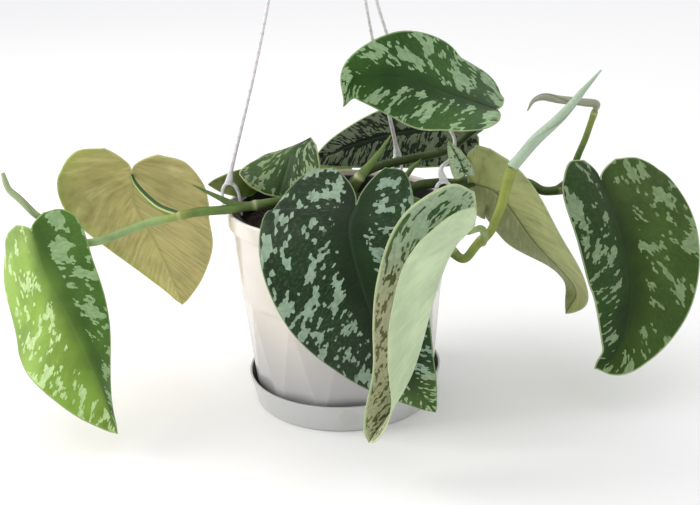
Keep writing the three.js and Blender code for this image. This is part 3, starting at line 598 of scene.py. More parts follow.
# How each blade hangs: the same values as its solid. Faces are the way that the midrib's top looks, from
# base to tip. Folds, from base to tip, and curls are in degrees, for the right half and the left half.
# Skew is how much wider the right half is, lobe how far back the lobes reach, and shoulder how early the
# outline narrows to the tip.
LEAVES = {
    "leaf_far_left": dict(
        midrib=[(-197, -34, 140), (-189, -45, 115), (-173, -58, 85), (-158, -72, 51), (-149, -74, 12)],
        width=85, faces=[(-0.21, -0.94, 0.25), (0.87, -0.34, -0.35)],
        folds=[(-33, -26), (-22, -27)], curls=(-9, -13),
        skew=0.26, lobe=0.45, shoulder=1.12, seed=1.0),
    "leaf_left_back": dict(
        midrib=[(-136, 3, 167), (-140, 18, 140), (-133, 35, 107), (-127, 48, 77), (-121, 56, 46)],
        width=102, faces=[(0.07, 0.83, 0.56), (0.21, 0.75, 0.63)],
        folds=[(-7, 4), (-2, 13)], curls=(-6, -16),
        skew=0.04, lobe=1.04, shoulder=0.94, seed=2.3, vein_lean=0.75),
    "leaf_front": dict(
        midrib=[(11, -69, 159), (6, -89, 146), (16, -107, 106), (32, -103, 67), (55, -97, 30)],
        width=96, faces=[(-0.12, -0.68, 0.72), (-0.04, -0.97, -0.26)],
        folds=[(-8, -16), (2, 5)], curls=(-8, -18),
        skew=0.21, lobe=1.48, shoulder=0.97, seed=3.1),
    "leaf_folded": dict(
        midrib=[(73, -121, 158.5), (63, -114, 143), (53.5, -112, 116.5), (38, -114.5, 64),
                (12, -120, 24.5)],
        width=85, faces=[(-0.82, -0.46, 0.34), (-0.78, -0.6, -0.19), (-0.58, -0.54, -0.61)],
        folds=[(61, 33), (69, 77)], curls=(6, -2),
        skew=-0.17, lobe=1.05, shoulder=1, blunt=1, seed=4.7, wave=0.15),
    "leaf_top": dict(
        midrib=[(104, -15, 201), (75, -9, 211), (45, -7, 222), (14, -12, 223), (6, -29, 210)],
        width=82, faces=[(-0.67, 0.13, 0.73), (0.6, -0.75, -0.27)],
        folds=[(3, 6), (5, -8)], curls=(-2, -16),
        skew=0.08, lobe=0.22, shoulder=1.4, seed=5.2),
    "leaf_shaded": dict(
        midrib=[(96, 64, 173), (66, 72, 170), (37, 76, 165), (7, 76, 157), (-20, 72, 147)],
        width=52, faces=[(0, -0.85, 0.5), (-0.1, -0.85, 0.5)],
        folds=[(5, 5), (-5, -5)], curls=(-10, -10),
        skew=-0.1, lobe=0.5, shoulder=1, seed=6.6),
    "leaf_back_left": dict(
        midrib=[(-39.5, -6, 146.7), (-37, 0, 152.9), (-33, 8, 163), (-28, 16, 173), (-16.7, 30, 177.4)],
        width=56.6, faces=[(0.21, -0.62, 0.75), (-0.43, -0.66, 0.62), (-0.31, -0.75, 0.59)],
        folds=[(18, 8), (21, -52)], curls=(0, 4),
        skew=-0.03, lobe=0.38, shoulder=0.87, seed=7.4, wave=0.3, fanned=True),
    "leaf_low_left": dict(
        midrib=[(-44, 27, 150.5), (-52, 20, 152), (-62, 15.5, 152.2), (-76.4, 14.8, 151.4),
                (-88.5, 17.2, 150.8)],
        width=24, faces=[(0.25, 0.79, 0.56), (0.11, 0.94, 0.31), (0.12, 0.95, 0.29)],
        folds=[(5, -22), (5, 7)], curls=(-11, -1),
        skew=0.08, lobe=0.5, shoulder=0.9, seed=12.3, wave=0.3),
    "leaf_right": dict(
        midrib=[(88, -6, 151), (107, -14, 144), (130, -21, 112), (158, -21, 78), (152, -22, 59)],
        width=89, faces=[(0.67, 0.6, 0.44), (0.94, 0.06, -0.33)],
        folds=[(1, 1), (11, -1)], curls=(-16, 0),
        skew=-0.03, lobe=0.26, shoulder=0.63, seed=8.9),
    "leaf_far_right": dict(
        midrib=[(177, -2, 148), (188, -25, 115), (191, -39, 79), (180, -53, 45), (165, -52, 32)],
        width=108, faces=[(0.55, -0.66, 0.51), (0.1, -0.96, 0.24)],
        folds=[(20, 17), (4, 12)], curls=(-29, 1),
        skew=-0.13, lobe=0.69, shoulder=1.2, seed=9.5),
    "leaf_behind": dict(
        midrib=[(-30, 92, 140), (-28, 106, 110), (-24, 108, 76), (-20, 103, 44)],
        width=84, faces=[(0, 0.95, 0.3), (-0.1, 1, -0.1)],
        folds=[(8, 8), (8, 8)], curls=(-18, -18),
        skew=0, lobe=0.8, shoulder=1, seed=10.8),
    "leaf_young": dict(
        midrib=[(84, -14, 159), (81, -17, 167), (77, -20, 175), (72, -23, 184)],
        width=16, faces=[(-0.3, -0.9, 0.2), (-0.3, -0.9, 0.2)],
        folds=[(25, 40), (25, 40)], curls=(0, 0),
        skew=0, lobe=0.3, shoulder=0.9, seed=11.9, wave=0.15),
}

# Grown leaves share these colours unless a leaf's own look says otherwise. Where there are two colours,
# or two shares of silver in cover, they are for the left and the right of the midrib.
GROWN = dict(
    green=(31, 53, 24), silver=(130, 150, 130), side_blend=0.22, cell=(2.2, 1.3), patch=(13.5, 6),
    rib=(48, 74, 44), rib_shade=0.66, cover=(0.44, 0.44), clear=11.0, streaks=0.10,
    margin=(170, 186, 142), margin_width=1.2, under=((158, 168, 108), (150, 160, 102)),
    under_dark=(122, 134, 74), under_vein=(192, 200, 142), under_rib=(176, 186, 128), under_streaks=0.45)
LOOKS = {
    # painted light and shade: the two halves' greens and silvers differ because the window lights one half
    # more than the other
    "leaf_far_left": dict(
        green=((74, 106, 44), (124, 154, 62)), silver=((144, 172, 124), (178, 202, 142)), side_blend=0.35,
        rib=(98, 134, 76), rib_shade=0.82, cover=(0.445, 0.425), clear=10.0, patch=(15, 12),
        margin=(150, 176, 110)),
    "leaf_left_back": dict(
        under=((174, 162, 102), (176, 163, 108)), under_dark=(134, 124, 72), under_vein=(206, 196, 144),
        under_rib=(164, 160, 98), under_streaks=0.55, margin=(200, 202, 146),
        under_edge=(146, 150, 74), edge_reach=(-0.65, -1.1)),
    # painted shade: the right half's green and silver are darker, for the shade on that side of the leaf
    "leaf_front": dict(
        green=((31, 53, 24), (24, 43, 19)), silver=((134, 155, 136), (130, 150, 130)),
        margin=(128, 150, 108), margin_width=1.0, cover=(0.445, 0.44), clear=14.0, patch=(17, 8.5),
        end_green=(72, 98, 42), end_silver=(150, 172, 130), end_reach=(0.93, 0.74)),
    "leaf_folded": dict(
        green=(98, 98, 60), silver=(174, 176, 146), cover=(0.52, 0.52), clear=2.0, rib_shade=0.95,
        cell=(1.0, 1.8), patch=(3.4, 9), end_green=(66, 92, 52), end_silver=(164, 180, 156),
        end_reach=(0.1, 0.42), margin=(186, 198, 158), margin_width=2.0, under=(190, 206, 170),
        under_dark=(170, 190, 148), under_vein=(206, 220, 190), under_rib=(198, 214, 182)),
    "leaf_top": dict(
        green=(50, 80, 33), silver=(138, 162, 126), cover=(0.45, 0.45), clear=9.0, patch=(17, 9),
        margin=(150, 170, 124), end_green=(62, 100, 40), end_silver=(158, 184, 142), end_reach=(0.95, 0.5)),
    # painted shade: this leaf's green and silver are darkened for the shadow that the top leaf casts on it
    "leaf_shaded": dict(
        green=(20, 28, 16), silver=(100, 106, 88), cover=(0.50, 0.50), clear=4.0, cell=(2.6, 0.9),
        streaks=0.2, patch=(12, 4)),
    "leaf_back_left": dict(
        green=((52, 76, 34), (46, 70, 34)), silver=((128, 146, 106), (134, 152, 114)), cover=(0.45, 0.46),
        clear=5.0, cell=(2.6, 0.9), rib_shade=0.85, margin=(176, 182, 126), rib=(58, 84, 42),
        patch=(14, 5)),
    "leaf_low_left": dict(
        under=((112, 118, 66), (122, 126, 74)), under_dark=(92, 98, 50), under_vein=(140, 146, 94),
        under_rib=(120, 126, 76), margin=(166, 172, 120)),
    # painted light and shade: one half of the underside is lighter where it faces the light and the other
    # darker, and the dark midrib is painted shade in the fold along it
    "leaf_right": dict(
        under=((132, 138, 88), (170, 174, 118)), under_dark=(112, 118, 68), under_vein=(186, 190, 136),
        under_rib=(62, 68, 36)),
    "leaf_far_right": dict(
        green=((56, 76, 26), (39, 62, 22)), silver=((120, 138, 100), (122, 140, 108)),
        cover=(0.425, 0.425), clear=14.0, patch=(16, 10)),
    "leaf_young": dict(
        green=(96, 128, 80), silver=(182, 200, 170), cover=(0.58, 0.58), clear=1.0, cell=(1.6, 0.9),
        patch=(8, 3.5)),
}


def make_leaves():
    for name, leaf in LEAVES.items():
        look = {**GROWN, **LOOKS.get(name, {}), "seed": PATTERN_SHIFT * leaf["seed"]}
        materials = leaf_top_material(f"{name}_top", look), leaf_under_material(f"{name}_underside", look)
        settle(blade_piece(f"blade_{name[5:]}", leaf, materials), "leaf", name)


# ------------------------------------------------------------------ stems

def make_sweep_tree():
    """Sweeps a round section along every route in a piece, with slow swellings on its skin."""
    graph, given = geometry_tree("sweep_along_routes", Step=0.0012, Sides=20, Swelling=0.0002,
                                 Swelling_Scale=90.0)
    curve = graph.add("GeometryNodeMeshToCurve", Mesh=given["Geometry"])
    even = graph.add("GeometryNodeResampleCurve", mode="LENGTH", Curve=curve, Length=given["Step"])
    ring = graph.add("GeometryNodeCurvePrimitiveCircle", Resolution=given["Sides"], Radius=1.0)
    width = graph.add("GeometryNodeInputNamedAttribute", data_type="FLOAT", Name="route_radius")
    tube = graph.add("GeometryNodeCurveToMesh", Curve=even, Profile_Curve=ring, Scale=width, Fill_Caps=True)
    lumps = graph.noise(graph.add("GeometryNodeInputPosition"), given["Swelling Scale"], 2.0, 0.5)
    offset = graph.vector("SCALE", graph.add("GeometryNodeInputNormal"),
                          Scale=(lumps - 0.5) * given["Swelling"])
    moved = graph.add("GeometryNodeSetPosition", Geometry=tube, Offset=offset)
    return close_tree(graph, given, graph.add("GeometryNodeSetShadeSmooth", Geometry=moved))


NODE_SWELLINGS = ((0.14, 3.0), (0.08, 0.9))     # a wide one and a sharp one: how much thicker, and reach
NODE_RING = 1.1                                 # reach of the pale ring at a node
SEAT_AHEAD, SEAT_IN, SEAT_UNDER = 0.12, 4.0, 1.3    # where a petiole ends on its blade


def node_marks(path, nodes):
    """How much thicker a stem is towards its nodes, and how strongly the pale ring at each marks it."""
    swelling, scar = np.ones(len(path)), np.zeros(len(path))
    for node in nodes:
        distance = np.linalg.norm(path - np.asarray(node, float), axis=1)
        swelling += sum(share * np.exp(-(distance / reach) ** 2) for share, reach in NODE_SWELLINGS)
        scar = np.maximum(scar, np.exp(-(distance / NODE_RING) ** 4))
    return swelling, scar


def swept_piece(name, routes, tree, **values):
    """One piece from several routes. A route has a path and radii, and it may have tones, nodes and a
    channel."""
    paths, edges, first = [], [], 0
    read = {"route_radius": [], "tone": [], "scar": [], "channel": []}
    for route in routes:
        path = centripetal_spline(route["path"])
        count = len(path)
        swelling, scar = node_marks(path, route.get("nodes", ()))
        read["route_radius"].append(spread(route["radii"], count) * swelling * MM)
        read["tone"].append(spread(route.get("tone", (0.5,)), count))
        read["scar"].append(scar)
        read["channel"].append(np.full(count, route.get("channel", 0.0)))
        paths.append(path)
        edges += [(k, k + 1) for k in range(first, first + count - 1)]
        first += count
    piece = new_piece(name, np.concatenate(paths), edges=edges)
    point_values(piece, **{label: np.concatenate(parts) for label, parts in read.items()})
    return run_tree(piece, tree, **values)


def seat_under(leaf):
    """The end of a petiole: just under the blade, a little way down its midrib."""
    points, facing, _, _, _ = blade_sheet(leaf, np.zeros(2), np.array([0, SEAT_AHEAD]))
    return (points[0] + unit(points[1] - points[0]) * SEAT_IN - facing[0] * SEAT_UNDER).tolist()


# Routes from root to end, with radii and tones spread evenly along each. A route with a leaf goes on to
# its seat under that blade. At its nodes a route swells and has a pale ring.
VINES = {
    "vine_left": [
        dict(path=[(-14, -8, 106), (-16, -10, 134), (-24, -18, 147), (-39, -25, 149), (-55, -28, 148),
                   (-70, -27, 146), (-93, -24, 144), (-105, -22, 141), (-124, -20, 137), (-137, -20, 133),
                   (-151, -20, 128), (-164, -20, 125), (-177, -20, 126), (-187, -22, 131)],
             radii=(3, 3, 2.6), tone=(0.0, 0.2, 0.3, 0.9, 0.95, 1.0),
             nodes=[(-53, -28, 148), (-103, -22, 142), (-184, -22, 130)]),
        dict(path=[(-53, -28, 148), (-66, -27, 149), (-79, -25, 155), (-93, -22, 162)],
             radii=(2.8, 2.4, 1.6, 0.4), tone=(0.2, 0.35)),
        dict(path=[(-103, -22, 142), (-117, -16, 146), (-127, -8, 152), (-134, -2, 159)],
             radii=(2.6, 2.2, 1.3), leaf="leaf_left_back", tone=(0.6, 0.75), channel=1.0),
        dict(path=[(-184, -22, 130), (-191, -23, 136), (-196, -28, 140)], radii=(2.6, 2, 1.3),
             leaf="leaf_far_left", tone=(0.8, 0.8)),
    ],
    "vine_front": [
        dict(path=[(24, -18, 106), (26, -22, 132), (36, -34, 149), (52, -50, 151), (63, -64, 140),
                   (69, -74, 127), (75, -78, 124), (83, -78, 133), (91, -76, 140), (95, -74, 148)],
             radii=(3, 2.8, 2.6), tone=(0.1, 0.3, 0.55, 0.66), nodes=[(69, -74, 127), (86, -78, 135)]),
        dict(path=[(93, -75, 144), (98, -74, 156), (101, -73, 168), (104, -72, 178)],
             radii=(2.7, 3, 3.9), tone=(0.6, 0.66, 0.72)),
        dict(path=[(86, -78, 134), (86, -87, 141), (81, -104, 152)], radii=(2.6, 2.3, 1.4),
             leaf="leaf_folded", tone=(0.7, 0.9)),
    ],
    "vine_right": [
        dict(path=[(34, 0, 106), (38, -2, 134), (52, -5, 149), (66, -5, 151), (80, -4, 150), (94, 6, 150),
                   (112, 14, 148), (131, 12, 143), (141, 9, 138), (154, 8, 139), (166, 6, 143)],
             radii=(3.2, 3.2, 3), tone=(0.0, 0.25), nodes=[(70, -5, 151), (152, 8, 139)]),
        dict(path=[(68, -6, 151), (76, -10, 151), (83, -12, 150)], radii=(3, 2.6, 1.4), leaf="leaf_right",
             tone=(0.0, 0.1)),
        dict(path=[(150, 8, 139), (159, 8, 147), (163, 8, 161), (168, 8, 174), (171, 9, 183), (174, 10, 192)],
             radii=(2.4, 2.2, 2), tone=(0.3, 0.6), nodes=[(173, 10, 190)]),
        dict(path=[(163, 7, 142), (168, 5, 143), (173, 2, 144)], radii=(2.6, 2.2, 1.3), leaf="leaf_far_right",
             tone=(0.2, 0.3)),
        dict(path=[(72, -8, 151), (79, -10, 154), (84, -10, 158)], radii=(2, 1.6, 1), leaf="leaf_young",
             tone=(0.4, 0.5)),
    ],
    "vine_crown": [
        dict(path=[(8, 6, 106), (9, 2, 134), (10, -2, 152), (18, 5, 157), (30, 12, 160), (52, 16, 163),
                   (75, 14, 168), (93, 6, 184), (103, -6, 195)],
             radii=(3.4, 3.2, 3, 2.8, 2.6, 1.4), leaf="leaf_top", tone=(0.0, 0.1)),
        dict(path=[(9, -2, 146), (8, -26, 152), (10, -44, 162), (14, -46, 169), (17, -45, 172),
                   (26, -40, 181), (35, -34, 192)],
             radii=(3, 3.2, 3, 0.4), tone=(0.2, 0.4), nodes=[(14, -46, 169)]),
        dict(path=[(8, -26, 152), (7, -46, 152), (9, -60, 152)], radii=(2.8, 2.2, 1.3), leaf="leaf_front",
             tone=(0.2, 0.2)),
        dict(path=[(10, 0, 143), (-8, 1, 145), (-24, -5, 143), (-34, -9, 144)], radii=(2.8, 2.2, 1.1),
             leaf="leaf_back_left", tone=(0.1, 0.2)),
        dict(path=[(9, 2, 140), (2, 12, 146), (-10, 20, 150), (-26, 23, 151)], radii=(2.6, 2, 1),
             leaf="leaf_low_left", tone=(0.1, 0.2)),
        dict(path=[(70, 14, 167), (86, 30, 171), (102, 52, 172), (106, 68, 171), (101, 74, 171)],
             radii=(2.6, 2.2, 1.3), leaf="leaf_shaded", tone=(0.1, 0.1)),
        dict(path=[(38, -6, 150), (44.7, -12, 158), (49.5, -12, 164), (55.4, -12, 169.8)],
             radii=(2.2, 2.0, 1.6, 0.4), tone=(0.3, 0.4)),
    ],
    "vine_back": [
        dict(path=[(0, 26, 106), (-4, 32, 130), (-20, 50, 143), (-32, 68, 147), (-34, 84, 146)],
             radii=(3, 3, 2.4, 1.4), leaf="leaf_behind", tone=(0.1, 0.3)),
    ],
}

CHANNEL_SIDE = (0.45, -0.60, 0.66)  # the way that the channel of a petiole opens


def stem_material():
    """Living stem: dark green in the pot's shade, paler and yellower towards the young end."""
    graph = Surface("living_stem", Subsurface_Weight=0.1, Subsurface_Scale=0.003, Specular_IOR_Level=0.3)
    cloud = graph.unevenness(14.0, 0.9)
    tone = graph.add("ShaderNodeValToRGB", Fac=graph.attribute("tone"))
    steps = tone.socket.node.color_ramp.elements
    steps[0].color, steps[1].color = colour(50, 66, 30), colour(138, 166, 114)
    steps.new(0.45).color = colour(94, 119, 56)
    steps.new(0.68).color = colour(134, 144, 64)
    upward = graph.vector("DOT_PRODUCT", graph.add("ShaderNodeNewGeometry")["Normal"], CHANNEL_SIDE)["Value"]
    channel = graph.attribute("channel")
    base = graph.shade(tone, graph.ramp(cloud["Slow"], 0.25, 0.75, 0.78, 1.22))
    for share, tint in (
            (graph.ramp(cloud["Fine"], 0.60, 0.72, 0.0, 0.3), (150, 156, 112)),     # flecks
            # the channel is only painted on the round tube: pale lips, and painted shade in its hollow
            (graph.ramp(upward, 0.30, 0.50) * channel, (190, 198, 132)),            # lips of the channel
            (graph.ramp(upward, 0.66, 0.80) * channel, (64, 96, 58)),               # its hollow
            (graph.attribute("scar") * 0.75, (188, 184, 142))):                     # rings at the nodes
        base = graph.mix(share, base, tint)
    return graph.clad(base, cloud["Fine"] * 0.16 + 0.42, 0.25, 0.0002, cloud["Fine"])


def make_vines(sweep):
    material = stem_material()
    for name, routes in VINES.items():
        seated = []
        for route in routes:
            seat = [seat_under(LEAVES[route["leaf"]])] if "leaf" in route else []
            seated.append({**route, "path": route["path"] + seat})
        piece = swept_piece(f"stem_{name[5:]}", seated, sweep, Material=material, Step=0.0012, Sides=20,
                            Swelling=0.0005, Swelling_Scale=110.0)
        settle(piece, "stem", name)


# ------------------------------------------------------------------ rolled young leaves

ROLLED_LEAVES = {
    "leaf_rolled_left": dict(
        path=[(-186, -18, 132), (-191, -18, 139), (-198, -20, 147), (-205, -20, 156), (-212, -18, 163),
              (-214, -17, 169), (-215, -16, 174)],
        radii=(2.0, 2.6, 2.6, 2.4, 2.2, 1.4), pale=(160, 176, 132), dark=(126, 146, 98), turns=0.9),
    "leaf_rolled_tall": dict(
        path=[(104, -72, 178), (118, -68, 193), (134, -64, 206), (147, -60, 219), (159, -56, 231)],
        radii=(3.7, 3.9, 3.2, 2.2, 0.6), pale=(168, 189, 164), dark=(132, 156, 128), turns=0.7),
    "leaf_rolled_right": dict(
        path=[(174, 10, 192), (175, 10, 196), (163, 6, 199), (148, 2, 202), (136, -2, 205),
              (130, -3, 203), (126, -4, 197)],
        radii=(1.8, 2.8, 3, 2.8, 1.6, 0.5), pale=(156, 160, 136), dark=(116, 120, 94), turns=0.8),
}
ROLL_RINGS, ROLL_SIDES = 90, 40
ROLL_ROUTE_STEPS = 24            # between two points of a roll's path
ROLL_STEP = 0.2                  # depth of the step at the free edge, as a share of the radius
ROLL_VEIN_RISE = 6.0             # how far the pattern climbs in one turn
ROLL_SIDE = (0.2, 0.9, 0.1)      # a roll's free edge starts square to this and to its path


def rolled_material(name, look):
    """A rolled blade seen from its back: pale, with darker veins that run round it."""
    graph = Surface(name, Subsurface_Weight=0.12, Subsurface_Scale=0.003, Sheen_Weight=0.1)
    cloud = graph.unevenness(12.0, 1.0)
    vein = graph.group(VEINS, Vein_Space=graph.attribute("roll_space", "Vector"), Spacing=3.4, Grain=0.3)
    marks = graph.math("MAXIMUM", vein["Lines"] * 0.35, graph.ramp(cloud["Slow"], 0.35, 0.7, 0.0, 0.35))
    # painted shade: a dark line along the free edge, for the shade under the overlapping edge of the roll
    seam = graph.ramp(graph.attribute("seam_mm"), 0.0, 0.7, 0.75, 0.0)
    base = graph.mix(seam, graph.mix(marks, look["pale"], look["dark"]), look["dark"])
    return graph.clad(base, cloud["Fine"] * 0.12 + 0.42, 0.3, 0.0002, vein["Height"])


def band_faces(rings, sides, first=0):
    """Quads between closed rings of points."""
    faces = []
    for ring in range(first, first + (rings - 1) * sides, sides):
        for k in range(sides):
            a, b = ring + k, ring + (k + 1) % sides
            faces.append((a, b, b + sides, a + sides))
    return faces


def rolled_piece(name, bud, material):
    """A blade rolled into a slim spindle: its free edge is a step that winds down the spindle."""
    route = centripetal_spline(bud["path"], ROLL_ROUTE_STEPS)
    travelled = travelled_along(route)
    even = np.linspace(0, travelled[-1], ROLL_RINGS + 1)
    centre = read_along(even, travelled, route)
    radius = np.interp(even, travelled, spread(bud["radii"], len(route)))
    tangent = unit(np.gradient(centre, axis=0))
    normal = unit(np.cross(tangent[0], ROLL_SIDE))
    turn = np.arange(ROLL_SIDES) / (ROLL_SIDES - 1)
    points, space, seam = [], [], []
    for ring in range(ROLL_RINGS + 1):
        normal = unit(normal - normal.dot(tangent[ring]) * tangent[ring])
        other = np.cross(tangent[ring], normal)
        angle = turn * (ROLL_SIDES - 1) / ROLL_SIDES + bud["turns"] * ring / ROLL_RINGS
        angle, reach = FULL_TURN * angle[:, None], radius[ring] * (1 - ROLL_STEP * turn[:, None])
        points.append(centre[ring] + reach * (np.cos(angle) * normal + np.sin(angle) * other))
        round_mm = FULL_TURN * radius[ring]
        space.append(np.stack([turn * round_mm, even[ring] + ROLL_VEIN_RISE * turn, 0 * turn], -1))
        seam.append(np.minimum(turn, 1 - turn) * round_mm)
    faces = band_faces(ROLL_RINGS + 1, ROLL_SIDES)
    last = ROLL_RINGS * ROLL_SIDES
    faces += [tuple(reversed(range(ROLL_SIDES))), tuple(range(last, last + ROLL_SIDES))]
    piece = new_piece(name, np.concatenate(points), faces, materials=[material])
    point_values(piece, roll_space=np.concatenate(space), seam_mm=np.concatenate(seam))
    return piece


def make_rolled_leaves():
    for name, bud in ROLLED_LEAVES.items():
        piece = rolled_piece(f"roll_{name[12:]}", bud, rolled_material(f"{name}_skin", bud))
        settle(piece, "rolled_leaf", name)


# ------------------------------------------------------------------ pot, saucer, inner pot

GAP = 0.3                        # between parts that touch
POT = Values(top=141.2, rim_radius=75, rim_inner=72.6, rim_height=11, body_top=71.8, facet_top=78,
             facet_top_radius=69.2, facet_bottom=4, facet_bottom_radius=62.2, facets=12, foot=2.1,
             foot_radius=60, floor_top=4.5, inner_floor=57.5, wall=2)
SAUCER = Values(height=19.9, top_radius=67.7, bottom_radius=63.4, wall=1.5, floor=1.8, edge=0.8)
NURSERY = Values(bottom=4.8, bottom_radius=56, top=138.5, rim_radius=70.2, rim_height=4.5, wall_top=68.3,
                 wall=1.2, floor=1.5)
HALF_FACET = 16                  # columns of the mesh in half of a facet's width, and rows in its height
FIRST_FACET_RING = 2             # rings under the facets: the underside's and the foot's
SOFT_ANGLE = 35                  # degrees between faces, above which an edge looks sharp
FACET_ANGLE = 6                  # the same on the pot, whose facets meet at low angles
# The facets fade out over the start of the way up to the rim, as a share of it: how far, and how strong.
FACET_FADE = ((0.01, 0.85), (0.03, 0.55), (0.055, 0.22), (0.08, 0), (0.3, 0), (0.6, 0))


def turned_piece(name, profile, sides, cut=None, materials=()):
    """A closed shape turned about the pot's axis, whose profile starts and ends on that axis."""
    angles = FULL_TURN * np.arange(sides) / sides
    points = [(0, 0, profile[0][1])]
    for radius, height in profile[1:-1]:
        points += zip(radius * np.cos(angles), radius * np.sin(angles), [height] * sides)
    points.append((0, 0, profile[-1][1]))
    faces = []
    for place, quad in enumerate(band_faces(len(profile) - 2, sides, 1)):
        faces += cut(quad, *divmod(place, sides)) if cut else [quad]
    top = len(points) - 1
    faces += [(0, 1 + (k + 1) % sides, 1 + k) for k in range(sides)]
    faces += [(top - sides + k, top - sides + (k + 1) % sides, top) for k in range(sides)]
    return new_piece(name, points, faces, materials=materials)


def rounded(points, steps=4):
    """A profile whose marked corners are rounded. A corner is (radius, height, rounding)."""
    result = []
    for place, corner in enumerate(points):
        here = np.array(corner[:2], float)
        if len(corner) < 3:
            result.append(tuple(here))
            continue
        before, after = (unit(np.array(points[place + way][:2], float) - here) for way in (-1, 1))
        for w in np.arange(steps + 1) / steps:
            result.append(tuple(here + (before * (1 - w) ** 2 + after * w ** 2) * corner[2]))
    return result


def finish_turned(piece, slot, replaced, angle=SOFT_ANGLE):
    """Sharpens a turned piece's edges and hands it over."""
    piece.data.set_sharp_from_angle(angle=math.radians(angle))
    settle(piece, slot, replaced)


def make_facet_tree():
    """Presses tall triangles into a turned wall, points up and points down by turns."""
    graph, given = geometry_tree("press_facets", Facets=12.0, Low_Radius=0.06, High_Radius=0.07,
                                 Low_Height=0.004, High_Height=0.078)
    place = graph.add("GeometryNodeInputPosition")
    level = graph.vector("MULTIPLY", place, (1, 1, 0))
    angle = graph.math("ARCTAN2", graph.part(place, "Y"), graph.part(place, "X"))
    width = FULL_TURN / given["Facets"]
    half = width * 0.5
    flat = graph.math("COSINE", half)
    rise = graph.math("DIVIDE", graph.part(place, "Z") - given["Low Height"],
                      given["High Height"] - given["Low Height"], use_clamp=True)

    def wall(low, high, shifted):
        """One family of flat faces, between the low and the high radius in the middle of a face."""
        aside = graph.math("FLOORED_MODULO", shifted, width) - half
        return ((high - low) * rise + low) / graph.math("COSINE", aside)

    pressed = graph.math("MINIMUM", wall(given["Low Radius"] * flat, given["High Radius"], angle + half),
                         wall(given["Low Radius"], given["High Radius"] * flat, angle))
    weight = graph.add("GeometryNodeInputNamedAttribute", data_type="FLOAT", Name="facet_weight")
    change = weight * (pressed / graph.vector("LENGTH", level)["Value"] - 1.0)
    moved = graph.add("GeometryNodeSetPosition", Geometry=given["Geometry"],
                      Offset=graph.vector("SCALE", level, Scale=change))
    return close_tree(graph, given, moved)


def glossy_white_material():
    """Moulded white plastic: glossy, a touch uneven, with painted shade that greys it towards the foot."""
    graph = Surface("moulded_white_plastic", Coat_Weight=0.35, Coat_Roughness=0.08, Specular_IOR_Level=0.5)
    cloud = graph.unevenness(45.0, 1.2)
    height = graph.part(graph.add("ShaderNodeTexCoord")["Object"], "Z")
    base = graph.mix(graph.ramp(cloud["Slow"], 0.3, 0.7), (219, 211, 202), (227, 220, 212))
    # painted shade: the white turns grey from 90 mm down to 20 mm, for the shade low on the pot
    base = graph.mix(graph.ramp(height, 0.09, 0.02), base, (176, 175, 176))
    base = graph.mix(graph.ramp(cloud["Fine"], 0.70, 0.78, 0.0, 0.25), base, (205, 198, 188))
    return graph.clad(base, cloud["Slow"] * 0.12 + 0.14, 0.05, 0.0003, cloud["Slow"])


def marked_plastic(name, tint, mark, sizes, reach, roughness, bump, **even):
    """Plastic with slow marks. Its roughness goes up from a lowest value by a share of the unevenness."""
    graph = Surface(name, **even)
    cloud = graph.unevenness(*sizes)
    base = graph.mix(graph.ramp(cloud["Slow"], *reach, 0.0, 0.5), tint, mark)
    return graph.clad(base, cloud["Slow"] * roughness[1] + roughness[0], *bump, cloud["Fine"])


def saucer_plastic(name, tint, mark):
    """Thinner greyer plastic, with water marks."""
    return marked_plastic(name, tint, mark, (20.0, 1.5), (0.50, 0.72), (0.25, 0.2), (0.06, 0.0003),
                          Coat_Weight=0.2, Coat_Roughness=0.15)


def pot_section():
    """The pot's section from the underside's centre round the rim to the floor's centre, and how strongly
    the facets press each of its points."""
    low, high, rim_low = POT.facet_bottom, POT.facet_top, POT.top - POT.rim_height
    low_radius, high_radius = POT.facet_bottom_radius, POT.facet_top_radius
    outer = [(0, POT.foot, 0), (POT.foot_radius - 1.5, POT.foot, 0), (POT.foot_radius, POT.foot + 0.3, 0.3)]
    for share in np.arange(HALF_FACET + 1) / HALF_FACET:
        outer.append((low_radius + (high_radius - low_radius) * share, low + (high - low) * share, 1))
    for step, weight in FACET_FADE:
        radius = high_radius + (POT.body_top - high_radius) * step
        outer.append((radius, high + (rim_low - high) * step, weight))
    wall_guide = 67              # where the wall's inside is aimed while the corners are rounded
    rim = rounded([
        (POT.body_top, rim_low - 0.8), (POT.body_top + 0.2, rim_low, 0.5),
        (POT.rim_radius - 0.3, rim_low, 0.5), (POT.rim_radius, rim_low + 4), (POT.rim_radius, POT.top - 3),
        (POT.rim_radius - 0.1, POT.top, 1.1), (POT.rim_inner, POT.top, 0.9),
        (POT.rim_inner - 0.3, POT.top - 4), (POT.body_top - POT.wall, rim_low), (wall_guide, high),
        (POT.inner_floor, POT.floor_top, 1.5), (30, POT.floor_top)])
    inside_facets = high_radius * math.cos(math.pi / POT.facets) - POT.wall
    inner = [(inside_facets if radius == wall_guide else radius, height) for radius, height in rim]
    section = [(radius, height) for radius, height, _ in outer] + inner + [(0, POT.floor_top)]
    return section, [weight for _, _, weight in outer] + [0] * (len(inner) + 1)


def cut_facets(quad, ring, column):
    """Cuts a quad of the faceted part along the slant of the facet's edges."""
    if not FIRST_FACET_RING <= ring < FIRST_FACET_RING + HALF_FACET:
        return [quad]
    a, b, c, d = quad
    rising = (column + HALF_FACET) % (2 * HALF_FACET) < HALF_FACET
    return [(a, b, c), (a, c, d)] if rising else [(a, b, d), (b, c, d)]


def make_pot(white):
    section, weights = pot_section()
    sides = 2 * HALF_FACET * POT.facets
    piece = turned_piece("pot_wall", section, sides, cut_facets)
    point_values(piece, facet_weight=np.repeat(weights, [1] + [sides] * (len(section) - 2) + [1]))
    run_tree(piece, make_facet_tree(), Material=white, Facets=float(POT.facets),
             Low_Radius=POT.facet_bottom_radius * MM, High_Radius=POT.facet_top_radius * MM,
             Low_Height=POT.facet_bottom * MM, High_Height=POT.facet_top * MM)
    finish_turned(piece, "white_plastic", "pot", FACET_ANGLE)


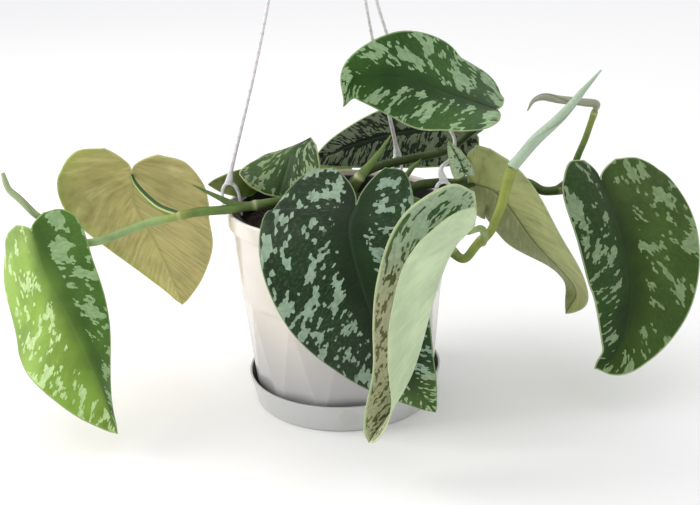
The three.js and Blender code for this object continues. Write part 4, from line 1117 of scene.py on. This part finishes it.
def make_saucer():
    """A shallow dish. Its inside is darker than its outside: painted shade for the narrow gap round the pot.
    """
    top, bottom, wall, height, floor = (
        SAUCER.top_radius, SAUCER.bottom_radius, SAUCER.wall, SAUCER.height, SAUCER.floor)
    inner_low = bottom + (top - bottom) * floor / height - wall
    profile = rounded([
        (0, 0), (bottom - 3, 0), (bottom, 0, SAUCER.edge), (top - 0.15, height - 1.6), (top, height, 0.55),
        (top - wall, height, 0.5), (inner_low, floor, 1.0), (40, floor), (0, floor)])
    # painted shade: the saucer's inside wall and floor take a dark plastic, for the shade in the gap between
    # saucer and pot
    piece = turned_piece("saucer_dish", profile, 256, materials=(
        saucer_plastic("greyer_plastic", (195, 196, 194), (182, 181, 176)),
        saucer_plastic("wet_plastic", (112, 110, 104), (84, 80, 72))))
    for face in piece.data.polygons:
        inward = face.normal.x * face.center.x + face.normal.y * face.center.y < -1e-4
        face.material_index = int(inward and face.center.z < (height - SAUCER.edge) * MM)
    finish_turned(piece, "white_plastic", "saucer")


def make_nursery_pot():
    n = NURSERY
    rim_low, wall_inner, floor_top = n.top - n.rim_height, n.wall_top - n.wall, n.bottom + n.floor
    profile = rounded([
        (0, n.bottom), (n.bottom_radius, n.bottom, 1.0), (n.wall_top, rim_low, 0.3),
        (n.rim_radius, rim_low, 0.4), (n.rim_radius, n.top, 0.6), (wall_inner, n.top, 0.5),
        (wall_inner - 0.3, n.top - 8), (n.bottom_radius - n.wall, floor_top, 0.5), (0, floor_top)])
    scuffed = marked_plastic("scuffed_black_plastic", (22, 22, 24), (52, 50, 48), (9.0, 0.7), (0.5, 0.75),
                             (0.25, 0.3), (0.2, 0.0002), Specular_IOR_Level=0.5)
    piece = turned_piece("inner_pot", profile, 192, materials=[scuffed])
    finish_turned(piece, "black_plastic", "nursery_pot")


# ------------------------------------------------------------------ soil

SOIL = Values(top=126, crown=3, rings=44, sectors=128, under_crumbs=0.6)
CRUMBS_MOST = 400000.0           # to a square metre, before those that are too near go
CRUMB_TURNS = (0, 0, 0), (6.3, 6.3, 6.3)
CRUMB_SHAPES = (0.35, 0.45, 0.3), (1.5, 1.2, 0.9)


def soil_height(x, y):
    """A low crown with wide and narrow mounds, which flatten out towards the wall."""
    radius = np.hypot(x, y) / NURSERY.wall_top
    wide = 0.9 * np.sin(0.31 * x + 1.3) * np.cos(0.27 * y)
    narrow = 0.6 * np.sin(0.53 * y - 0.4 * x)
    return SOIL.top + SOIL.crown * (1 - radius ** 2) + (wide + narrow) * (1 - radius ** 4)


def make_crumb_tree():
    """Strews crumbs of several sizes over the upward faces of the soil."""
    graph, given = geometry_tree("strew_crumbs", Spacing=0.0016, Crumb_Size=0.001, Seed=4)
    upward = graph.math("GREATER_THAN", graph.part(graph.add("GeometryNodeInputNormal"), "Z"), 0.5)
    strewn = graph.add("GeometryNodeDistributePointsOnFaces", distribute_method="POISSON",
                       Mesh=given["Geometry"], Selection=upward, Distance_Min=given["Spacing"],
                       Density_Max=CRUMBS_MOST, Seed=given["Seed"])
    crumb = graph.add("GeometryNodeMeshIcoSphere", Radius=given["Crumb Size"], Subdivisions=1)
    turn, size = (
        graph.add("FunctionNodeRandomValue", data_type="FLOAT_VECTOR", Seed=given["Seed"], Min=low, Max=high)
        for low, high in (CRUMB_TURNS, CRUMB_SHAPES))
    placed = graph.add("GeometryNodeInstanceOnPoints", Points=strewn, Instance=crumb,
                       Rotation=turn, Scale=size)
    both = graph.add("GeometryNodeJoinGeometry", given["Geometry"])
    graph.feed(both.socket.node.inputs[0], placed)
    return close_tree(graph, given, both)


def soil_material():
    graph = Surface("damp_potting_mix")
    cloud = graph.unevenness(7.0, 1.1)
    base = graph.mix(graph.ramp(cloud["Slow"], 0.3, 0.7), (34, 25, 20), (62, 47, 36))
    base = graph.mix(graph.ramp(cloud["Fine"], 0.62, 0.70, 0.0, 0.6), base, (96, 78, 60))
    return graph.clad(base, cloud["Slow"] * 0.3 + 0.6, 0.6, 0.0006, cloud["Fine"])


def make_soil():
    n = NURSERY
    low = n.bottom + n.floor + GAP

    def reach(height):
        """How far the soil reaches at a height, a little short of the inner pot's wall."""
        share = (height - n.bottom) / (n.top - n.rim_height - n.bottom)
        return n.bottom_radius + (n.wall_top - n.bottom_radius) * share - n.wall - 2 * GAP

    profile = [(0, low), (reach(low), low)]
    profile += [(reach(SOIL.top) * ring / SOIL.rings, SOIL.top) for ring in range(SOIL.rings, -1, -1)]
    piece = turned_piece("potting_mix", profile, SOIL.sectors)
    points = np.zeros(len(piece.data.vertices) * 3, np.float32)
    piece.data.vertices.foreach_get("co", points)
    points = points.reshape(-1, 3)
    upper = points[:, 2] > (SOIL.top - 1) * MM
    x, y = points[upper, 0] / MM, points[upper, 1] / MM
    points[upper, 2] = (soil_height(x, y) - SOIL.under_crumbs) * MM
    piece.data.vertices.foreach_set("co", points.ravel())
    piece.data.update()
    run_tree(piece, make_crumb_tree(), Material=soil_material(), Spacing=0.0017, Crumb_Size=0.0012, Seed=4)
    settle(piece, "soil", "soil")


# ------------------------------------------------------------------ hanger

HANGER = Values(crown_bottom=408, crown_height=8, crown_radius=6, strand_circle=3.6, strand_top=0.8,
                strand_foot=1.5, strand_root=3.1, clip_top=156, clip_middle=72.1, clip_wire=1.15,
                clip_end=0.9)
CLIP_OUTSIDE = [(76.6, 134), (77.2, 144), (77, 149.5), (75.3, 154)]
CLIP_INSIDE = [(68.4, 154), (66.4, 149.5), (65.6, 144), (65.6, 133)]
STRANDS = {
    "hanger_strand_1": (180, [(-48, 0, 236), (-26, 0, 320)]),
    "hanger_strand_2": (52, [(29, 37, 236), (16, 20, 320)]),
    "hanger_strand_3": (-15, [(76, -5, 168), (79, 3, 179), (64, 16, 199), (49, 25, 218), (36, 30, 250),
                              (18, 14, 330)]),
}
HOOK = Values(wire=1.9, tip=1.5, radius=13, rise=8, neck=10, sunk=2)
STRAND_RIB = 0.006               # metres from one cross rib of a strand to the next


def strand_routes(azimuth, bow):
    """A strand and the bow of its clip, which goes over the rim from outside to inside."""
    def out(radius, height):
        return (radius * math.cos(math.radians(azimuth)), radius * math.sin(math.radians(azimuth)), height)

    h = HANGER
    clip = [out(*place) for place in CLIP_OUTSIDE + [(h.clip_middle, h.clip_top)] + CLIP_INSIDE]
    foot = [out(h.clip_middle, h.clip_top - 0.5), out(h.clip_middle - 2, h.clip_top + 8)]
    head = out(h.strand_circle, h.crown_bottom - GAP)
    middle = (h.strand_top + h.strand_foot) / 2
    return [dict(path=clip, radii=(h.clip_end, h.clip_wire, h.clip_wire + 0.2, h.clip_wire, h.clip_end)),
            dict(path=foot + bow + [head],
                 radii=[h.strand_root, h.strand_foot] + [middle] * len(bow) + [h.strand_top])]


def strand_material():
    """Clear-white moulded strand, a little bluish, with fine cross ribs along it."""
    graph = Surface("moulded_strand", Specular_IOR_Level=0.5, Subsurface_Weight=0.2, Subsurface_Scale=0.002)
    height = graph.part(graph.add("ShaderNodeTexCoord")["Object"], "Z")
    ribs = graph.math("SINE", height * (FULL_TURN / STRAND_RIB))
    base = graph.mix(graph.ramp(ribs, 0.2, 0.8, 0.0, 0.5), (224, 224, 226), (196, 199, 206))
    return graph.clad(base, graph.ramp(ribs, -1.0, 1.0, 0.22, 0.4), 0.3, 0.0003, ribs)


def make_hanger(sweep, white):
    plastic = strand_material()
    for name, (azimuth, bow) in STRANDS.items():
        piece = swept_piece(f"{name}_wire", strand_routes(azimuth, bow), sweep, Material=plastic,
                            Step=0.0015, Sides=14, Swelling=0.0)
        settle(piece, "white_plastic", name)
    base = HANGER.crown_bottom + HANGER.crown_height
    centre = base + HOOK.neck + HOOK.radius
    path = [(0, 0, base - HOOK.sunk), (0, 0, base + HOOK.rise)]
    for turn in np.radians(np.arange(-60, 151, 30)):
        path.append((HOOK.radius * math.cos(turn), 0, centre + HOOK.radius * math.sin(turn)))
    path.append((-HOOK.radius - 1, 0, centre - 1))
    hook = dict(path=path, radii=(HOOK.wire, HOOK.wire, HOOK.wire, HOOK.tip))
    wire = swept_piece("hanger_hook_wire", [hook], sweep, Material=white, Step=0.001, Sides=20, Swelling=0.0)
    settle(wire, "white_plastic", "hanger_hook")
    radius, bottom, top = HANGER.crown_radius, HANGER.crown_bottom, base + 3
    crown = rounded([(0, bottom), (radius, bottom, 0.8), (radius, base - 2, 0.8),
                     (HOOK.wire + 1, top, 0.6), (0, top)])
    settle(turned_piece("hanger_crown", crown, 64, materials=[white]), "white_plastic", "hanger_hook")


# ------------------------------------------------------------------ floor, light, camera

FLOOR_REACH = 14000              # from the middle to each side
FLOOR_LEVEL = -0.3
SKY_LOW, SKY_HIGH = (0.42, 0.42, 0.42, 1), (1.18, 1.18, 1.19, 1)
LENS_SHARE = 1001 / 700          # focal length as a share of the sensor's width
PLANT_MIDDLE = (0, 0, 0.12)      # where the lights point, in metres


def make_floor():
    corners = [(way_x * FLOOR_REACH, way_y * FLOOR_REACH, FLOOR_LEVEL)
               for way_x, way_y in ((-1, -1), (1, -1), (1, 1), (-1, 1))]
    pale = Surface("pale_floor", Roughness=0.9, Specular_IOR_Level=0.0, Base_Color=colour(250, 250, 251))
    floor = new_piece("pale_floor", corners, [(0, 1, 2, 3)], materials=[pale.material])


def area_light(name, place, size, power, tint):
    light = bpy.data.lights.new(name, "AREA")
    light.shape = "RECTANGLE"
    light.size, light.size_y = size
    light.energy = power
    light.color = tint
    lamp = link(name, light)
    lamp.location = place
    lamp.rotation_mode = "QUATERNION"
    lamp.rotation_quaternion = (Vector(PLANT_MIDDLE) - Vector(place)).to_track_quat("-Z", "Y")


def make_light():
    """A sky that is brighter overhead, a window on the left and a soft light in front."""
    world = bpy.data.worlds.new("soft_studio")
    world.use_nodes = True
    graph = Graph(world.node_tree)
    above = graph.part(graph.add("ShaderNodeTexCoord")["Generated"], "Z")
    sky = graph.mix(graph.ramp(above, 0.0, 1.0, shape="LINEAR"), SKY_LOW, SKY_HIGH)
    graph.feed(world.node_tree.nodes["Background"].inputs["Color"], sky)
    bpy.context.scene.world = world
    area_light("window_left", (-1.5, 0.1, 0.85), (0.9, 1.3), 19, (1.0, 0.97, 0.92))
    area_light("soft_front", (0.9, -1.6, 1.3), (1.4, 1.0), 3.2, (1.0, 0.99, 0.97))


def make_camera():
    """645 mm in front of the pot's axis and 340 mm up, looking down by 20.2 degrees, rolled a little."""
    yaw, pitch, roll = math.radians(0.6), math.radians(20.2), math.radians(-2.35)
    forward = Vector((math.sin(yaw) * math.cos(pitch), math.cos(yaw) * math.cos(pitch), -math.sin(pitch)))
    level = Vector((math.cos(yaw), -math.sin(yaw), 0))
    above = level.cross(forward)
    right = level * math.cos(roll) + above * math.sin(roll)
    up = above * math.cos(roll) - level * math.sin(roll)
    data = bpy.data.cameras.new("main_view")
    data.sensor_width = 36
    data.lens = LENS_SHARE * data.sensor_width
    data.clip_start, data.clip_end = 0.05, 60
    camera = link("main_view", data)
    turn = Matrix((right, up, -forward)).transposed().to_4x4()
    camera.matrix_world = Matrix.Translation((0, -0.645, 0.340)) @ turn
    bpy.context.scene.camera = camera


make_camera()
make_light()
make_floor()
bpy.context.scene.view_settings.view_transform = "Standard"

sweep = make_sweep_tree()
white = glossy_white_material()
make_pot(white)
make_saucer()
make_nursery_pot()
make_soil()
make_hanger(sweep, white)
make_vines(sweep)
make_rolled_leaves()
make_leaves()
